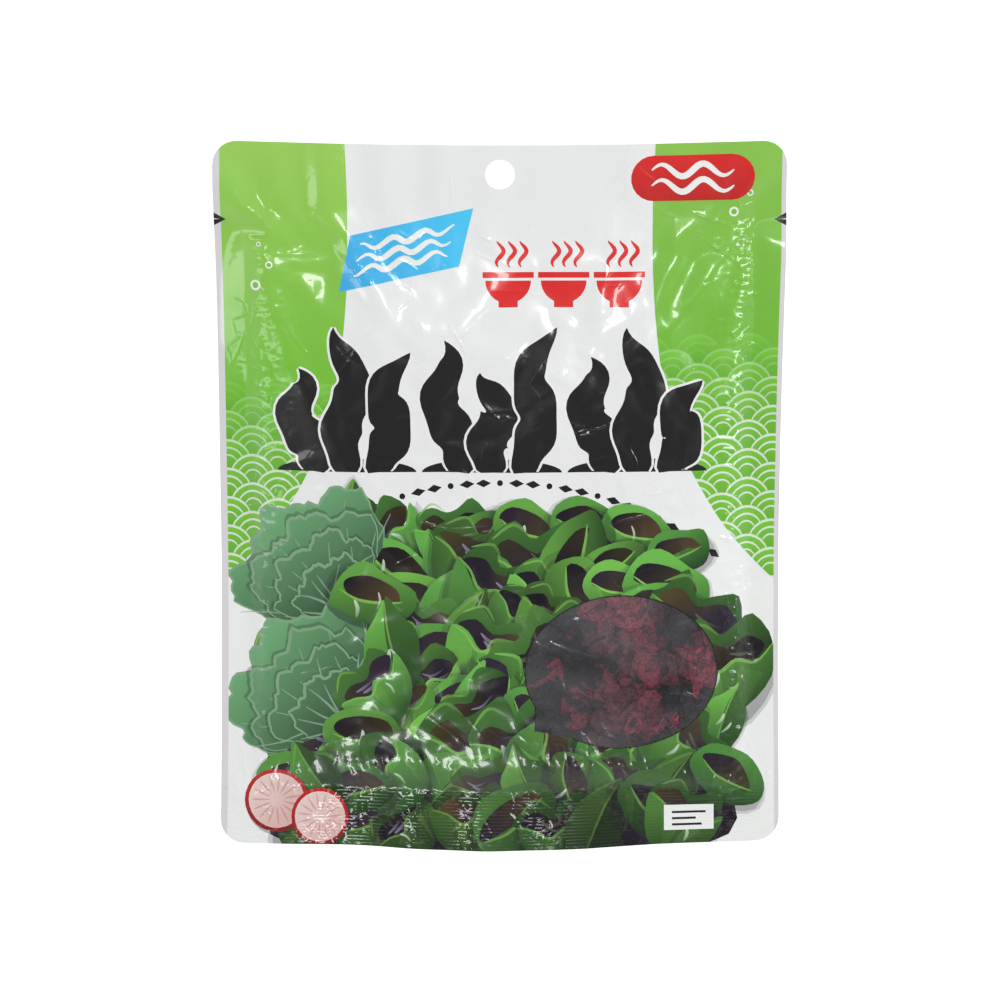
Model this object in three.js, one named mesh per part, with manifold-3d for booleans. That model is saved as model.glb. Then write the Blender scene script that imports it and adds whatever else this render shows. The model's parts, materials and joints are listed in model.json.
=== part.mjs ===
// A retail pouch of dried cut wakame, lying on its back with the printed front up.
// Two panels of laminated film are heat-sealed all round, with a hang hole in the header, a small
// tear notch at each side, and an oval clear window that shows the flakes inside.
// Millimetres, +Z up, +Y towards the header. The origin is the centre of the bounding box's base.
//
// Film and filling are described on the flat sheet, as (u, v) from its centre, and the finished
// meshes are then drawn in a little, as filling a flat pouch draws in its sides.

import * as THREE from 'three';
import { mergeVertices } from 'three/addons/utils/BufferGeometryUtils.js';
import Module from 'manifold-3d';

const wasm = await Module();
wasm.setup();

// Driving dimensions
const SHEET = { halfWidth: 70, halfHeight: 87, cornerRadius: 6 };
const SEAL = { side: 9, bottom: 15, top: 12.5 };
const FILM = { thickness: 0.35, gap: 0.3 };
const FILL = { front: 8.6, back: 9, centreV: -14, topV: 60, sideFall: 0.6, bottomFall: 0.6, topFall: 1 };
const SEAL_PLANE = { edge: 1.7, rise: 5, sideDrop: 0.5, cornerDroop: 2.2, headerFrom: 10, headerLeft: 0.12 };
const DRAW_IN = { side: 0.02, centreV: -14, reach: 82, top: 1.3, bottomBow: 1.6, bowHalfWidth: 50 };
const FOOT_BLEND = 1.4;
const HANG_HOLE = { radius: 3.6, fromTop: 7.2 };
const NOTCH = { v: 67.8, depth: 1.6, height: 1 };
const WINDOW = { u: 30.3, v: -42.6, halfWidth: 24, halfHeight: 19, fromDeg: -121, toDeg: 207 };
const WINDOW_POINT = { u: 8.8, v: -57.2 };
const PATCH = { scale: 1.14, drop: 0.65 };
const HEAP = { halfWidth: 48, bottomV: -64, topV: 45, underFilm: 3.9, overFilm: 2.4 };
const CORE = { scale: 0.9, rings: 4, spokes: 20 };
const FLAKE = { thickness: 0.6, clear: 0.4, corners: 7, halfLength: 6.4, halfWidth: 3.8, pitch: 9.2 };
const LOOSE = { count: 9, halfLength: 8.8, halfWidth: 5, corners: 12, rings: 2, apart: 2.2, reach: 0.84 };
const LOOSE_SPACE = { under: 1.6, wave: 0.45, heapDrop: 3.3 };
const ROOM_MARGIN = 3;
const SINK = { upper: 1.4, under: 0.3, leastCore: 1.2 };
const JITTER = { place: 0.25, lean: 0.25, size: [0.8, 1.2], reach: [0.75, 1.1], ripple: [0.3, 0.8] };
const LOWER_FLAKES_PITCH = 1.9;
const CUTTER_HEIGHT = 60;
const SEED = { heap: 20263, loose: 9 };

const clamp = (x, low, high) => Math.min(high, Math.max(low, x));
const lerp = (a, b, t) => a + (b - a) * t;
const radians = (degrees) => (degrees * Math.PI) / 180;
const cap = (x) => Math.max(0, 1 - x * x);

function smoothstep(from, to, x) {
  const t = clamp((x - from) / (to - from), 0, 1);
  return t * t * (3 - 2 * t);
}

// The larger of x and 0, rounded over where they cross, and exactly 0 below -blend.
function softFloor(x, blend) {
  if (x <= -blend) return 0;
  return x >= blend ? x : (x + blend) ** 2 / (4 * blend);
}

function seededRandom(seed) {
  let state = seed;
  return () => {
    state = (state + 0x6d2b79f5) | 0;
    let t = Math.imul(state ^ (state >>> 15), 1 | state);
    t = (t + Math.imul(t ^ (t >>> 7), 61 | t)) ^ t;
    return ((t ^ (t >>> 14)) >>> 0) / 4294967296;
  };
}

// The pouch's form on the flat sheet

const innerHalfWidth = SHEET.halfWidth - SEAL.side;
const innerBottom = -SHEET.halfHeight + SEAL.bottom;
const innerTop = SHEET.halfHeight - SEAL.top;

// How full the pouch is at a point, from 0 at the seals to 1 at the thickest place.
function fullness(u, v) {
  const across = cap(u / innerHalfWidth) ** FILL.sideFall;
  if (v < FILL.centreV) {
    return across * cap((FILL.centreV - v) / (FILL.centreV - innerBottom)) ** FILL.bottomFall;
  }
  return across * cap((v - FILL.centreV) / (FILL.topV - FILL.centreV)) ** FILL.topFall;
}

// The height at which the two films meet. The bulge lifts it, and the corners and header droop.
function sealPlane(u, v) {
  const across = 1 - SEAL_PLANE.sideDrop * (u / SHEET.halfWidth) ** 2;
  const along = lerp(1, SEAL_PLANE.headerLeft, smoothstep(SEAL_PLANE.headerFrom, SHEET.halfHeight, v));
  const corner = (u / SHEET.halfWidth) ** 4 * (v / SHEET.halfHeight) ** 4;
  const lifted = SEAL_PLANE.edge + SEAL_PLANE.rise * across * along;
  return Math.max(SEAL_PLANE.edge - 0.4, lifted - SEAL_PLANE.cornerDroop * corner);
}

const frontOuter = (u, v) => sealPlane(u, v) + FILM.gap / 2 + FILM.thickness + FILL.front * fullness(u, v);
const backOuter = (u, v) =>
  softFloor(sealPlane(u, v) - FILM.gap / 2 - FILM.thickness - FILL.back * fullness(u, v), FOOT_BLEND);
const frontInner = (u, v) => frontOuter(u, v) - FILM.thickness;
const backInner = (u, v) => backOuter(u, v) + FILM.thickness;

// Where a point of the flat sheet ends up once the filled pouch has drawn in.
function drawnIn(u, v) {
  const waist = DRAW_IN.side * cap((v - DRAW_IN.centreV) / DRAW_IN.reach);
  const sag = DRAW_IN.top * cap(u / SHEET.halfWidth) * smoothstep(30, SHEET.halfHeight, v);
  const bow = DRAW_IN.bottomBow * cap(u / DRAW_IN.bowHalfWidth) ** 3 * smoothstep(-45, -SHEET.halfHeight, v);
  return [u * (1 - waist), v - sag - bow];
}

// Meshes and booleans

function solid(geometry) {
  geometry.deleteAttribute('normal');
  geometry.deleteAttribute('uv');
  const merged = mergeVertices(geometry, 1e-5);
  const vertProperties = new Float32Array(merged.attributes.position.array);
  const triVerts = new Uint32Array(merged.index.array);
  return new wasm.Manifold(new wasm.Mesh({ numProp: 3, vertProperties, triVerts }));
}

// The largest body of a solid, drawn in, as a geometry.
function finished(manifold) {
  const bodies = manifold.decompose().sort((a, b) => b.volume() - a.volume());
  const mesh = bodies[0].getMesh();
  const places = new Float32Array(mesh.vertProperties);
  for (let i = 0; i < places.length; i += 3) {
    const [x, y] = drawnIn(places[i], places[i + 1]);
    places[i] = x;
    places[i + 1] = y;
  }
  const geometry = new THREE.BufferGeometry();
  geometry.setAttribute('position', new THREE.BufferAttribute(places, 3));
  geometry.setIndex(new THREE.BufferAttribute(new Uint32Array(mesh.triVerts), 1));
  geometry.computeVertexNormals();
  return geometry;
}

function indexed(points, triangles) {
  const geometry = new THREE.BufferGeometry();
  geometry.setAttribute('position', new THREE.Float32BufferAttribute(points.flat(), 3));
  geometry.setIndex(triangles.flat());
  return geometry;
}

// A closed sheet over the grid of us and vs, between the heights top and bottom.
function gridSheet(us, vs, top, bottom) {
  const columns = us.length;
  const layer = columns * vs.length;
  const at = (i, j) => j * columns + i;
  const points = [top, bottom].flatMap((height) => vs.flatMap((v) => us.map((u) => [u, v, height(u, v)])));
  const triangles = [];
  const quad = (a, b, c, d) => triangles.push([a, b, c], [a, c, d]);
  for (let j = 0; j + 1 < vs.length; j++) {
    for (let i = 0; i + 1 < columns; i++) {
      const corners = [at(i, j), at(i + 1, j), at(i + 1, j + 1), at(i, j + 1)];
      quad(...corners);
      const [a, b, c, d] = corners.map((k) => k + layer);
      triangles.push([a, c, b], [a, d, c]);
    }
  }
  const rim = [];
  for (let i = 0; i + 1 < columns; i++) rim.push([at(i, 0), at(i + 1, 0)]);
  for (let j = 0; j + 1 < vs.length; j++) rim.push([at(columns - 1, j), at(columns - 1, j + 1)]);
  for (let i = columns - 1; i > 0; i--) rim.push([at(i, vs.length - 1), at(i - 1, vs.length - 1)]);
  for (let j = vs.length - 1; j > 0; j--) rim.push([at(0, j), at(0, j - 1)]);
  for (const [a, b] of rim) quad(a, a + layer, b + layer, b);
  return indexed(points, triangles);
}

// A closed leaf over rings round a centre. outline(k) is the k-th corner, middle(u, v) the height
// of the leaf's middle surface, and above and below how far its faces lie from that.
function ringSheet(centre, rings, corners, outline, top, bottom) {
  const flat = [centre];
  for (let r = 1; r <= rings; r++) {
    for (let k = 0; k < corners; k++) {
      const [u, v] = outline(k);
      flat.push([lerp(centre[0], u, r / rings), lerp(centre[1], v, r / rings)]);
    }
  }
  const points = [top, bottom].flatMap((height) => flat.map(([u, v]) => [u, v, height(u, v)]));
  const layer = flat.length;
  const at = (r, k) => 1 + (r - 1) * corners + (k % corners);
  const triangles = [];
  const bothFaces = (a, b, c) => triangles.push([a, b, c], [a + layer, c + layer, b + layer]);
  for (let k = 0; k < corners; k++) {
    bothFaces(0, at(1, k), at(1, k + 1));
    for (let r = 1; r < rings; r++) {
      bothFaces(at(r, k), at(r + 1, k), at(r + 1, k + 1));
      bothFaces(at(r, k), at(r + 1, k + 1), at(r, k + 1));
    }
    const [a, b] = [at(rings, k), at(rings, k + 1)];
    triangles.push([a, a + layer, b + layer], [a, b + layer, b]);
  }
  return indexed(points, triangles);
}

function prism(shape, curveSegments) {
  const settings = { depth: CUTTER_HEIGHT, bevelEnabled: false, curveSegments };
  return solid(new THREE.ExtrudeGeometry(shape, settings).translate(0, 0, -CUTTER_HEIGHT / 2));
}

// Outlines on the flat sheet

function sheetOutline() {
  const { halfWidth: w, halfHeight: h, cornerRadius: r } = SHEET;
  const shape = new THREE.Shape();
  shape.absarc(w - r, -h + r, r, radians(-90), 0);
  shape.absarc(w - r, h - r, r, 0, radians(90));
  shape.absarc(-w + r, h - r, r, radians(90), radians(180));
  shape.absarc(-w + r, -h + r, r, radians(180), radians(270));
  return shape;
}

// The window is an oval whose lower left runs out to a point.
function windowOutline(scale = 1) {
  const { u, v, halfWidth, halfHeight } = WINDOW;
  const shape = new THREE.Shape();
  shape.moveTo(u + (WINDOW_POINT.u - u) * scale, v + (WINDOW_POINT.v - v) * scale);
  const [from, to] = [radians(WINDOW.fromDeg), radians(WINDOW.toDeg)];
  shape.absellipse(u, v, halfWidth * scale, halfHeight * scale, from, to, false);
  return shape;
}

function notchOutline(side) {
  const edge = side * (SHEET.halfWidth + 1);
  const tip = side * (SHEET.halfWidth - NOTCH.depth);
  const half = (NOTCH.height / 2) * ((NOTCH.depth + 1) / NOTCH.depth);
  return new THREE.Shape([
    new THREE.Vector2(edge, NOTCH.v - half),
    new THREE.Vector2(edge, NOTCH.v + half),
    new THREE.Vector2(tip, NOTCH.v),
  ]);
}

// The films

// Grid lines that crowd towards both ends, where the film turns most.
function crowdedLines(from, to, cells) {
  const share = (i) => (1 - Math.cos((Math.PI * i) / cells)) / 2;
  return Array.from({ length: cells + 1 }, (_, i) => lerp(from, to, share(i)));
}

const midSeal = (from, to) => [from, (from + to) / 2];
const SHEET_US = [
  ...midSeal(-SHEET.halfWidth, -innerHalfWidth),
  ...crowdedLines(-innerHalfWidth, innerHalfWidth, 18),
  ...midSeal(SHEET.halfWidth, innerHalfWidth).reverse(),
];
const SHEET_VS = [
  ...midSeal(-SHEET.halfHeight, innerBottom),
  ...crowdedLines(innerBottom, FILL.topV, 19),
  (FILL.topV + innerTop) / 2,
  innerTop,
  ...midSeal(SHEET.halfHeight, innerTop).reverse(),
];

function cutToPouch(sheet) {
  const hole = new THREE.CylinderGeometry(HANG_HOLE.radius, HANG_HOLE.radius, CUTTER_HEIGHT, 24);
  hole.rotateX(Math.PI / 2).translate(0, SHEET.halfHeight - HANG_HOLE.fromTop, 0);
  const cutters = [solid(hole), ...[-1, 1].map((side) => prism(notchOutline(side), 1))];
  return cutters.reduce((cut, cutter) => cut.subtract(cutter), sheet.intersect(prism(sheetOutline(), 5)));
}

function frontFilm() {
  const sheet = solid(gridSheet(SHEET_US, SHEET_VS, frontOuter, frontInner));
  return cutToPouch(sheet).subtract(prism(windowOutline(), 20));
}

function backFilm() {
  return cutToPouch(solid(gridSheet(SHEET_US, SHEET_VS, backInner, backOuter)));
}

function windowPatch() {
  const top = (u, v) => frontOuter(u, v) - PATCH.drop;
  return solid(gridSheet(SHEET_US, SHEET_VS, top, (u, v) => top(u, v) - FILM.thickness)).intersect(
    prism(windowOutline(PATCH.scale), 20),
  );
}

// The wakame

// How far out of the window a point is, as a share of the oval's own size.
const fromWindow = (u, v) =>
  Math.hypot((u - WINDOW.u) / WINDOW.halfWidth, (v - WINDOW.v) / WINDOW.halfHeight);

// The space that the heap may fill. Under the window it leaves room for the patch and loose flakes.
const heapCeiling = (u, v) =>
  frontInner(u, v) - FLAKE.clear - LOOSE_SPACE.heapDrop * smoothstep(1.75, 1.45, fromWindow(u, v));
const heapFloor = (u, v) => backInner(u, v) + FLAKE.clear;
const heapCentre = [0, (HEAP.bottomV + HEAP.topV) / 2];
const heapHalfHeight = (HEAP.topV - HEAP.bottomV) / 2;

function coreRim(k) {
  const angle = (2 * Math.PI * k) / CORE.spokes;
  const [c, s] = [Math.cos(angle), Math.sin(angle)];
  const reach = CORE.scale * (c ** 4 + s ** 4) ** -0.25;
  return [heapCentre[0] + HEAP.halfWidth * c * reach, heapCentre[1] + heapHalfHeight * s * reach];
}

const inHeap = (u, v) => (u / HEAP.halfWidth) ** 4 + ((v - heapCentre[1]) / heapHalfHeight) ** 4 < 1;
const coreTop = (u, v) => heapCeiling(u, v) - HEAP.underFilm + FLAKE.clear;
const coreBottom = (u, v) =>
  Math.min(heapFloor(u, v) + HEAP.overFilm - FLAKE.clear, coreTop(u, v) - SINK.leastCore);

function heapCore() {
  return solid(ringSheet(heapCentre, CORE.rings, CORE.spokes, coreRim, coreTop, coreBottom));
}

// One irregular flake of the heap. It slopes from a root sunk in the core to a tip near the film.
function heapFlake(u, v, upper, random) {
  const turn = random() * 2 * Math.PI;
  const [c, s] = [Math.cos(turn), Math.sin(turn)];
  const size = lerp(...JITTER.size, random());
  const [long, wide] = [FLAKE.halfLength * size, FLAKE.halfWidth * size];
  const lean = lerp(-JITTER.lean, JITTER.lean, random());
  const ripple = lerp(...JITTER.ripple, random());
  const phase = random() * 2 * Math.PI;
  const corners = Array.from({ length: FLAKE.corners }, (_, k) => {
    const angle = (2 * Math.PI * (k + lerp(-JITTER.place, JITTER.place, random()))) / FLAKE.corners;
    const reach = lerp(...JITTER.reach, random());
    return [long * reach * Math.cos(angle), wide * reach * Math.sin(angle)];
  });
  const outline = (k) => {
    const [along, across] = corners[k];
    return [u + along * c - across * s, v + along * s + across * c];
  };
  const side = upper ? 1 : -1;
  const outermost = upper ? heapCeiling : heapFloor;
  const core = upper ? coreTop : coreBottom;
  const middle = (pu, pv) => {
    const [du, dv] = [pu - u, pv - v];
    const [along, across] = [(du * c + dv * s) / long, dv * c - du * s];
    const [root, tip] = [core(u, v) - side * SINK.upper, outermost(u, v) - side * SINK.under];
    const free = lerp(root, tip, (along + 1) / 2);
    const raised = free + side * (lean * across + ripple * Math.sin(along * 3 + phase));
    const limit = outermost(pu, pv) - side * (FLAKE.thickness / 2);
    return upper ? Math.min(raised, limit) : Math.max(raised, limit);
  };
  const top = (pu, pv) => middle(pu, pv) + FLAKE.thickness / 2;
  const bottom = (pu, pv) => middle(pu, pv) - FLAKE.thickness / 2;
  return solid(ringSheet([u, v], 1, FLAKE.corners, outline, top, bottom));
}

// Flake centres on rows that are staggered and then jittered, over the heap's plan.
function flakeCentres(pitch, random) {
  const centres = [];
  const rows = Math.ceil((2 * heapHalfHeight) / pitch);
  const columns = Math.ceil(HEAP.halfWidth / pitch);
  for (let j = 0; j <= rows; j++) {
    for (let i = -columns; i <= columns; i++) {
      const u = (i + (j % 2) / 2 + lerp(-JITTER.place, JITTER.place, random())) * pitch;
      const v = HEAP.bottomV + (j + lerp(-JITTER.place, JITTER.place, random())) * pitch;
      if (inHeap(u, v)) centres.push([u, v]);
    }
  }
  return centres;
}

// The space between the films where there is room for the heap, on the films' own grid lines.
function heapRoom() {
  const us = SHEET_US.filter((u) => Math.abs(u) < innerHalfWidth - ROOM_MARGIN);
  const vs = SHEET_VS.filter((v) => v > innerBottom + ROOM_MARGIN && v < HEAP.topV + FLAKE.halfLength);
  return solid(gridSheet(us, vs, heapCeiling, heapFloor));
}

function wakameHeap(random) {
  const upper = flakeCentres(FLAKE.pitch, random).map(([u, v]) => heapFlake(u, v, true, random));
  const lowerPitch = FLAKE.pitch * LOWER_FLAKES_PITCH;
  const lower = flakeCentres(lowerPitch, random).map(([u, v]) => heapFlake(u, v, false, random));
  return wasm.Manifold.union([heapCore(), ...upper, ...lower]).intersect(heapRoom());
}

// An irregular flake outline round (u, v), longer than it is wide, turned by a random angle.
function looseOutline(u, v, random) {
  const turn = random() * 2 * Math.PI;
  const [c, s] = [Math.cos(turn), Math.sin(turn)];
  const long = LOOSE.halfLength * lerp(0.6, 1, random());
  const wide = LOOSE.halfWidth * lerp(0.8, 1.1, random());
  return Array.from({ length: LOOSE.corners }, (_, k) => {
    const angle = (2 * Math.PI * k) / LOOSE.corners;
    const reach = lerp(0.72, 1, random());
    const [along, across] = [long * reach * Math.cos(angle), wide * reach * Math.sin(angle)];
    return [u + along * c - across * s, v + along * s + across * c];
  });
}

// Places for the loose flakes under the window, each clear of the others in plan.
function looseSpots(random) {
  const spots = [];
  for (let tries = 0; tries < 6000 && spots.length < LOOSE.count; tries++) {
    const u = WINDOW.u + lerp(-1, 1, random()) * WINDOW.halfWidth;
    const v = WINDOW.v + lerp(-1, 1, random()) * WINDOW.halfHeight;
    const corners = looseOutline(u, v, random);
    const near = ([pu, pv], [qu, qv]) => Math.hypot(pu - qu, pv - qv) < LOOSE.apart;
    const points = [[u, v], ...corners];
    const meets = (spot) => spot.corners.some((theirs) => points.some((ours) => near(ours, theirs)));
    if (fromWindow(u, v) < LOOSE.reach && !spots.some(meets)) spots.push({ u, v, corners });
  }
  return spots;
}

// One flake that lies free just under the window, waved like dried leaf.
function looseFlake({ u, v, corners }, random) {
  const turn = random() * 2 * Math.PI;
  const phase = random() * 2 * Math.PI;
  const middle = (pu, pv) => {
    const [du, dv] = [pu - u, pv - v];
    const along = du * Math.cos(turn) + dv * Math.sin(turn);
    const across = dv * Math.cos(turn) - du * Math.sin(turn);
    const wave = Math.sin(along * 0.9 + phase) * 0.6 + Math.sin(across * 1.1 - phase) * 0.4;
    return frontInner(pu, pv) - PATCH.drop - LOOSE_SPACE.under - LOOSE_SPACE.wave * (1 - wave);
  };
  const top = (pu, pv) => middle(pu, pv) + FLAKE.thickness / 2;
  const bottom = (pu, pv) => middle(pu, pv) - FLAKE.thickness / 2;
  return solid(ringSheet([u, v], LOOSE.rings, LOOSE.corners, (k) => corners[k % LOOSE.corners], top, bottom));
}

// Assembly

const printedFilm = new THREE.MeshStandardMaterial({ color: 0x6fbf35, roughness: 0.28, metalness: 0 });
const plainFilm = new THREE.MeshStandardMaterial({ color: 0xe6e6e6, roughness: 0.3, metalness: 0 });
const clearFilm = new THREE.MeshStandardMaterial({ color: 0xf2f2f2, roughness: 0.1, metalness: 0 });
clearFilm.transparent = true;
clearFilm.opacity = 0.25;
const driedLeaf = new THREE.MeshStandardMaterial({ color: 0x2a2524, roughness: 0.7, metalness: 0 });
const maroonLeaf = new THREE.MeshStandardMaterial({ color: 0x5c2a33, roughness: 0.65, metalness: 0 });

const pouch = new THREE.Group();
pouch.name = 'wakame_pouch';

function add(name, manifold, material) {
  const mesh = new THREE.Mesh(finished(manifold), material);
  mesh.name = name;
  pouch.add(mesh);
}

add('front_film', frontFilm(), printedFilm);
add('back_film', backFilm(), plainFilm);
add('window_film', windowPatch(), clearFilm);
add('wakame_heap', wakameHeap(seededRandom(SEED.heap)), driedLeaf);
const looseRandom = seededRandom(SEED.loose);
looseSpots(looseRandom).forEach((spot, i) => {
  add(`wakame_flake_${i + 1}`, looseFlake(spot, looseRandom), i % 3 === 1 ? maroonLeaf : driedLeaf);
});

// The origin goes to the centre of the bounding box's base.
const box = new THREE.Box3().setFromObject(pouch);
const centre = box.getCenter(new THREE.Vector3());
pouch.position.set(-centre.x, -centre.y, -box.min.z);

export default pouch;
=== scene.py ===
"""Looks of a sealed film pouch of dried cut wakame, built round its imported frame.

Film, print and filling are laid out on the flat sheet, in millimetres from its centre, u across and
v up to the header, and are then drawn in and lifted to the filled pouch's form. A cloth simulation
blows the sealed sheet up, and its creases and puckers shape both films.
"""

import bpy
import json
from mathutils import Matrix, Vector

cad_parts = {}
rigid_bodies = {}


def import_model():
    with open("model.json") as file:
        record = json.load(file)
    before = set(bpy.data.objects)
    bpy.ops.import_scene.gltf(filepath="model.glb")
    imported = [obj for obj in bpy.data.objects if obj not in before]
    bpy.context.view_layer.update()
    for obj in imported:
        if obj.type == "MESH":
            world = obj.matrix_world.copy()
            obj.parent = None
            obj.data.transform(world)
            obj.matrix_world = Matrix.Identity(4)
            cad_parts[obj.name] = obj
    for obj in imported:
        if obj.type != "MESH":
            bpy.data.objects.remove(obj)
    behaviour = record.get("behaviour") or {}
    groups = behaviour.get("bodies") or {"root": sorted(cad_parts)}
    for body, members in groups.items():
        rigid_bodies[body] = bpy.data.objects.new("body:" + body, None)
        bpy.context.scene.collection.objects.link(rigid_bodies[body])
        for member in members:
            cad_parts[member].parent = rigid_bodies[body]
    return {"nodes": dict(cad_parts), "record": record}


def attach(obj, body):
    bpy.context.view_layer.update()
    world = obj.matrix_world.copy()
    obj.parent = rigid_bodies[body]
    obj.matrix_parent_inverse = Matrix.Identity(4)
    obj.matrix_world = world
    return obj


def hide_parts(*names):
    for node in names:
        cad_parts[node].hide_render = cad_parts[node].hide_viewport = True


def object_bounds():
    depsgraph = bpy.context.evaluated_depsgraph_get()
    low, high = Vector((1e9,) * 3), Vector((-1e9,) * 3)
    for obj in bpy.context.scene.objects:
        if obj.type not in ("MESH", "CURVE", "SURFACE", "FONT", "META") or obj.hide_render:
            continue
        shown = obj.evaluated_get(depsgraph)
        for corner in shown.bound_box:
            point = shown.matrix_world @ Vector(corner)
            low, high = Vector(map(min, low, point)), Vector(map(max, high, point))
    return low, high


bl_info = {
    "name": "Wakame Pouch",
    "version": (1, 0, 0),
    "blender": (4, 5, 0),
    "location": "3D View > Sidebar > Wakame Pouch",
    "description": "Builds a printed film pouch of dried cut wakame round a packed frame",
    "category": "Object",
}

import functools
import json
import math

import bmesh
import bpy
import numpy as np
from mathutils import Vector
from mathutils.geometry import delaunay_2d_cdt

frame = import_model()
CAD_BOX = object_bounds()

MM = 0.001
FRONT_NODE, BACK_NODE, WINDOW_NODE, HEAP_NODE = "front_film", "back_film", "window_film", "wakame_heap"
LOOSE_NODES = sorted(name for name in frame["nodes"] if name.startswith("wakame_flake_"))

# The form of the filled pouch, in millimetres on the flat sheet, as its solids have it
FILL = {"front": 8.6, "back": 9.0, "centre_v": -14.0, "top_v": 60.0, "side_fall": 0.6, "bottom_fall": 0.6}
SEAL_PLANE = {
    "edge": 1.7, "slack": 0.4, "rise": 5.0, "side_drop": 0.5, "corner_droop": 2.2,
    "header_from": 10.0, "header_left": 0.12,
}
DRAW_IN = {
    "side": 0.02, "centre_v": -14.0, "reach": 82.0, "top": 1.3, "top_from": 30.0,
    "bottom_bow": 1.6, "bow_half": 50.0, "bow_from": -45.0,
}
FOOT_BLEND = 1.4
WINDOW_CENTRE = (30.3, -42.6)
WINDOW_POINT = (8.8, -57.2)
WINDOW_SWEEP = (-121.0, 207.0)
NOTCH = {"v": 67.8, "depth": 1.6, "half_height": 0.12}
FILM_GAP = 0.02
PUCKER_HEIGHT = 0.45

# Seeds of the films' and the print's random draws, one for each film where there are two
CREASE_SEED, PRINT_SEED = 31, 7
PRESS_SEEDS, LUMP_SEEDS, PUCKER_SEEDS = (5, 9), (21, 22), (41, 42)

# The stage, in metres, with each lamp's place, its width and its share of the lamp power
FIELD_WIDTH = 0.2456  # across the whole picture, at the pouch
FLOOR_REACH, FLOOR_DROP = 3.0, 0.1 * MM
LAMPS = {
    "left_box": ((-0.75, 0.15, 0.62), 0.22, 0.22),
    "right_box": ((0.75, 0.30, 0.62), 0.18, 0.6),
    "head_box": ((0.08, 0.62, 0.80), 0.10, 0.25),
    "foot_box": ((-0.12, -0.62, 0.74), 0.10, 0.22),
    "overhead": ((0.0, 0.0, 1.0), 0.8, 0.9),
}


def length(name, description, millimetres):
    return bpy.props.FloatProperty(
        name=name, description=description, default=millimetres * MM, min=0.0, unit="LENGTH", precision=4
    )


def colour(name, description, red, green, blue):
    return bpy.props.FloatVectorProperty(
        name=name,
        description=description,
        subtype="COLOR_GAMMA",
        size=3,
        min=0.0,
        max=1.0,
        default=(red / 255, green / 255, blue / 255),
    )


class PouchSize(bpy.types.PropertyGroup):
    """Sizes of the flat pouch before it was filled."""

    width: length("Width", "Width of the flat pouch", (CAD_BOX[1].x - CAD_BOX[0].x) / MM)
    height: length("Height", "Height of the flat pouch", 174.0)
    corner_radius: length("Corner radius", "Radius of the four rounded corners", 6.0)
    side_seal: length("Side seal", "Width of the seal down each side", 9.0)
    bottom_seal: length("Bottom seal", "Width of the ribbed seal along the bottom", 15.0)
    top_seal: length("Top seal", "Width of the seal along the header", 12.5)
    film_thickness: length("Film thickness", "Thickness of the printed laminate", 0.12)
    hole_radius: length("Hole radius", "Radius of the hang hole in the header", 3.6)
    hole_from_top: length("Hole from top", "Distance of the hang hole's centre from the top edge", 7.2)
    rib_pitch: length("Rib pitch", "Distance from one seal rib to the next", 0.82)
    rib_height: length("Rib height", "Height of a seal rib above its neighbouring groove", 0.09)
    window_half_width: length("Window half width", "Half the clear window's width", 24.0)
    window_half_height: length("Window half height", "Half the clear window's height", 19.0)


class FilmLook(bpy.types.PropertyGroup):
    """Inks and finish of the printed film."""

    pale_green: colour("Pale green", "Lightest ink of the side panels", 158, 212, 92)
    green: colour("Green", "Main ink of the side panels", 122, 196, 58)
    deep_green: colour("Deep green", "Darkest ink of the side panels", 96, 172, 48)
    paper: colour("White", "White ink behind the middle of the front", 240, 241, 241)
    red: colour("Red", "Ink of the badge, the bowls and the radish skins", 226, 40, 38)
    blue: colour("Blue", "Ink of the slanted flash", 62, 176, 236)
    black: colour("Black", "Ink of the kelp tufts and the tear marks", 32, 31, 31)
    leaf_bright: colour("Bright leaf", "Lit side of the printed leaves", 96, 176, 74)
    leaf_dark: colour("Dark leaf", "Shaded side of the printed leaves", 42, 82, 36)
    leaf_gap: colour("Leaf gap", "Dark between the printed leaves", 40, 30, 48)
    frill: colour("Frilly leaf", "Grey-green of the two frilly leaves", 88, 136, 94)
    roughness: bpy.props.FloatProperty(
        name="Roughness", description="Roughness of the film's surface", default=0.24, min=0.0, max=1.0
    )


class WakameLook(bpy.types.PropertyGroup):
    """Size, number and colours of the dried flakes."""

    flake_size: length("Flake size", "Usual length of a dried flake", 13.0)
    flake_count: bpy.props.IntProperty(
        name="Flakes", description="About how many flakes cover the heap", default=1150, min=1
    )
    charcoal: colour("Charcoal", "Colour of most dried flakes", 40, 38, 41)
    maroon: colour("Maroon", "Colour of the reddish flakes", 142, 54, 70)
    seed: bpy.props.IntProperty(name="Seed", description="Seed of every random draw", default=11)


class StageLook(bpy.types.PropertyGroup):
    """Camera, lamps and floor."""

    camera_distance: length("Camera distance", "Distance from the camera to the pouch", 820.0)
    camera_tilt: bpy.props.FloatProperty(
        name="Camera tilt",
        description="How far the camera leans towards the header from straight above",
        default=math.radians(7.0),
        subtype="ANGLE",
    )
    lamp_power: bpy.props.FloatProperty(
        name="Lamp power", description="Power of the main soft lamp", default=3.6, min=0.0, unit="POWER"
    )


# Small helpers for numbers and curves


def smoothstep(low, high, x):
    t = np.clip((x - low) / (high - low), 0, 1)
    return t * t * (3 - 2 * t)


def cap(x):
    return np.clip(1 - x * x, 0, None)


def soft_floor(x, blend):
    """The larger of x and 0, rounded over where they cross."""
    return np.where(x >= blend, x, np.clip(x + blend, 0, None) ** 2 / (4 * blend))


def linear(rgb):
    """An sRGB colour as the linear one that a render works in."""
    c = np.asarray(rgb, float)
    return np.where(c <= 0.04045, c / 12.92, ((c + 0.055) / 1.055) ** 2.4)


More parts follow.
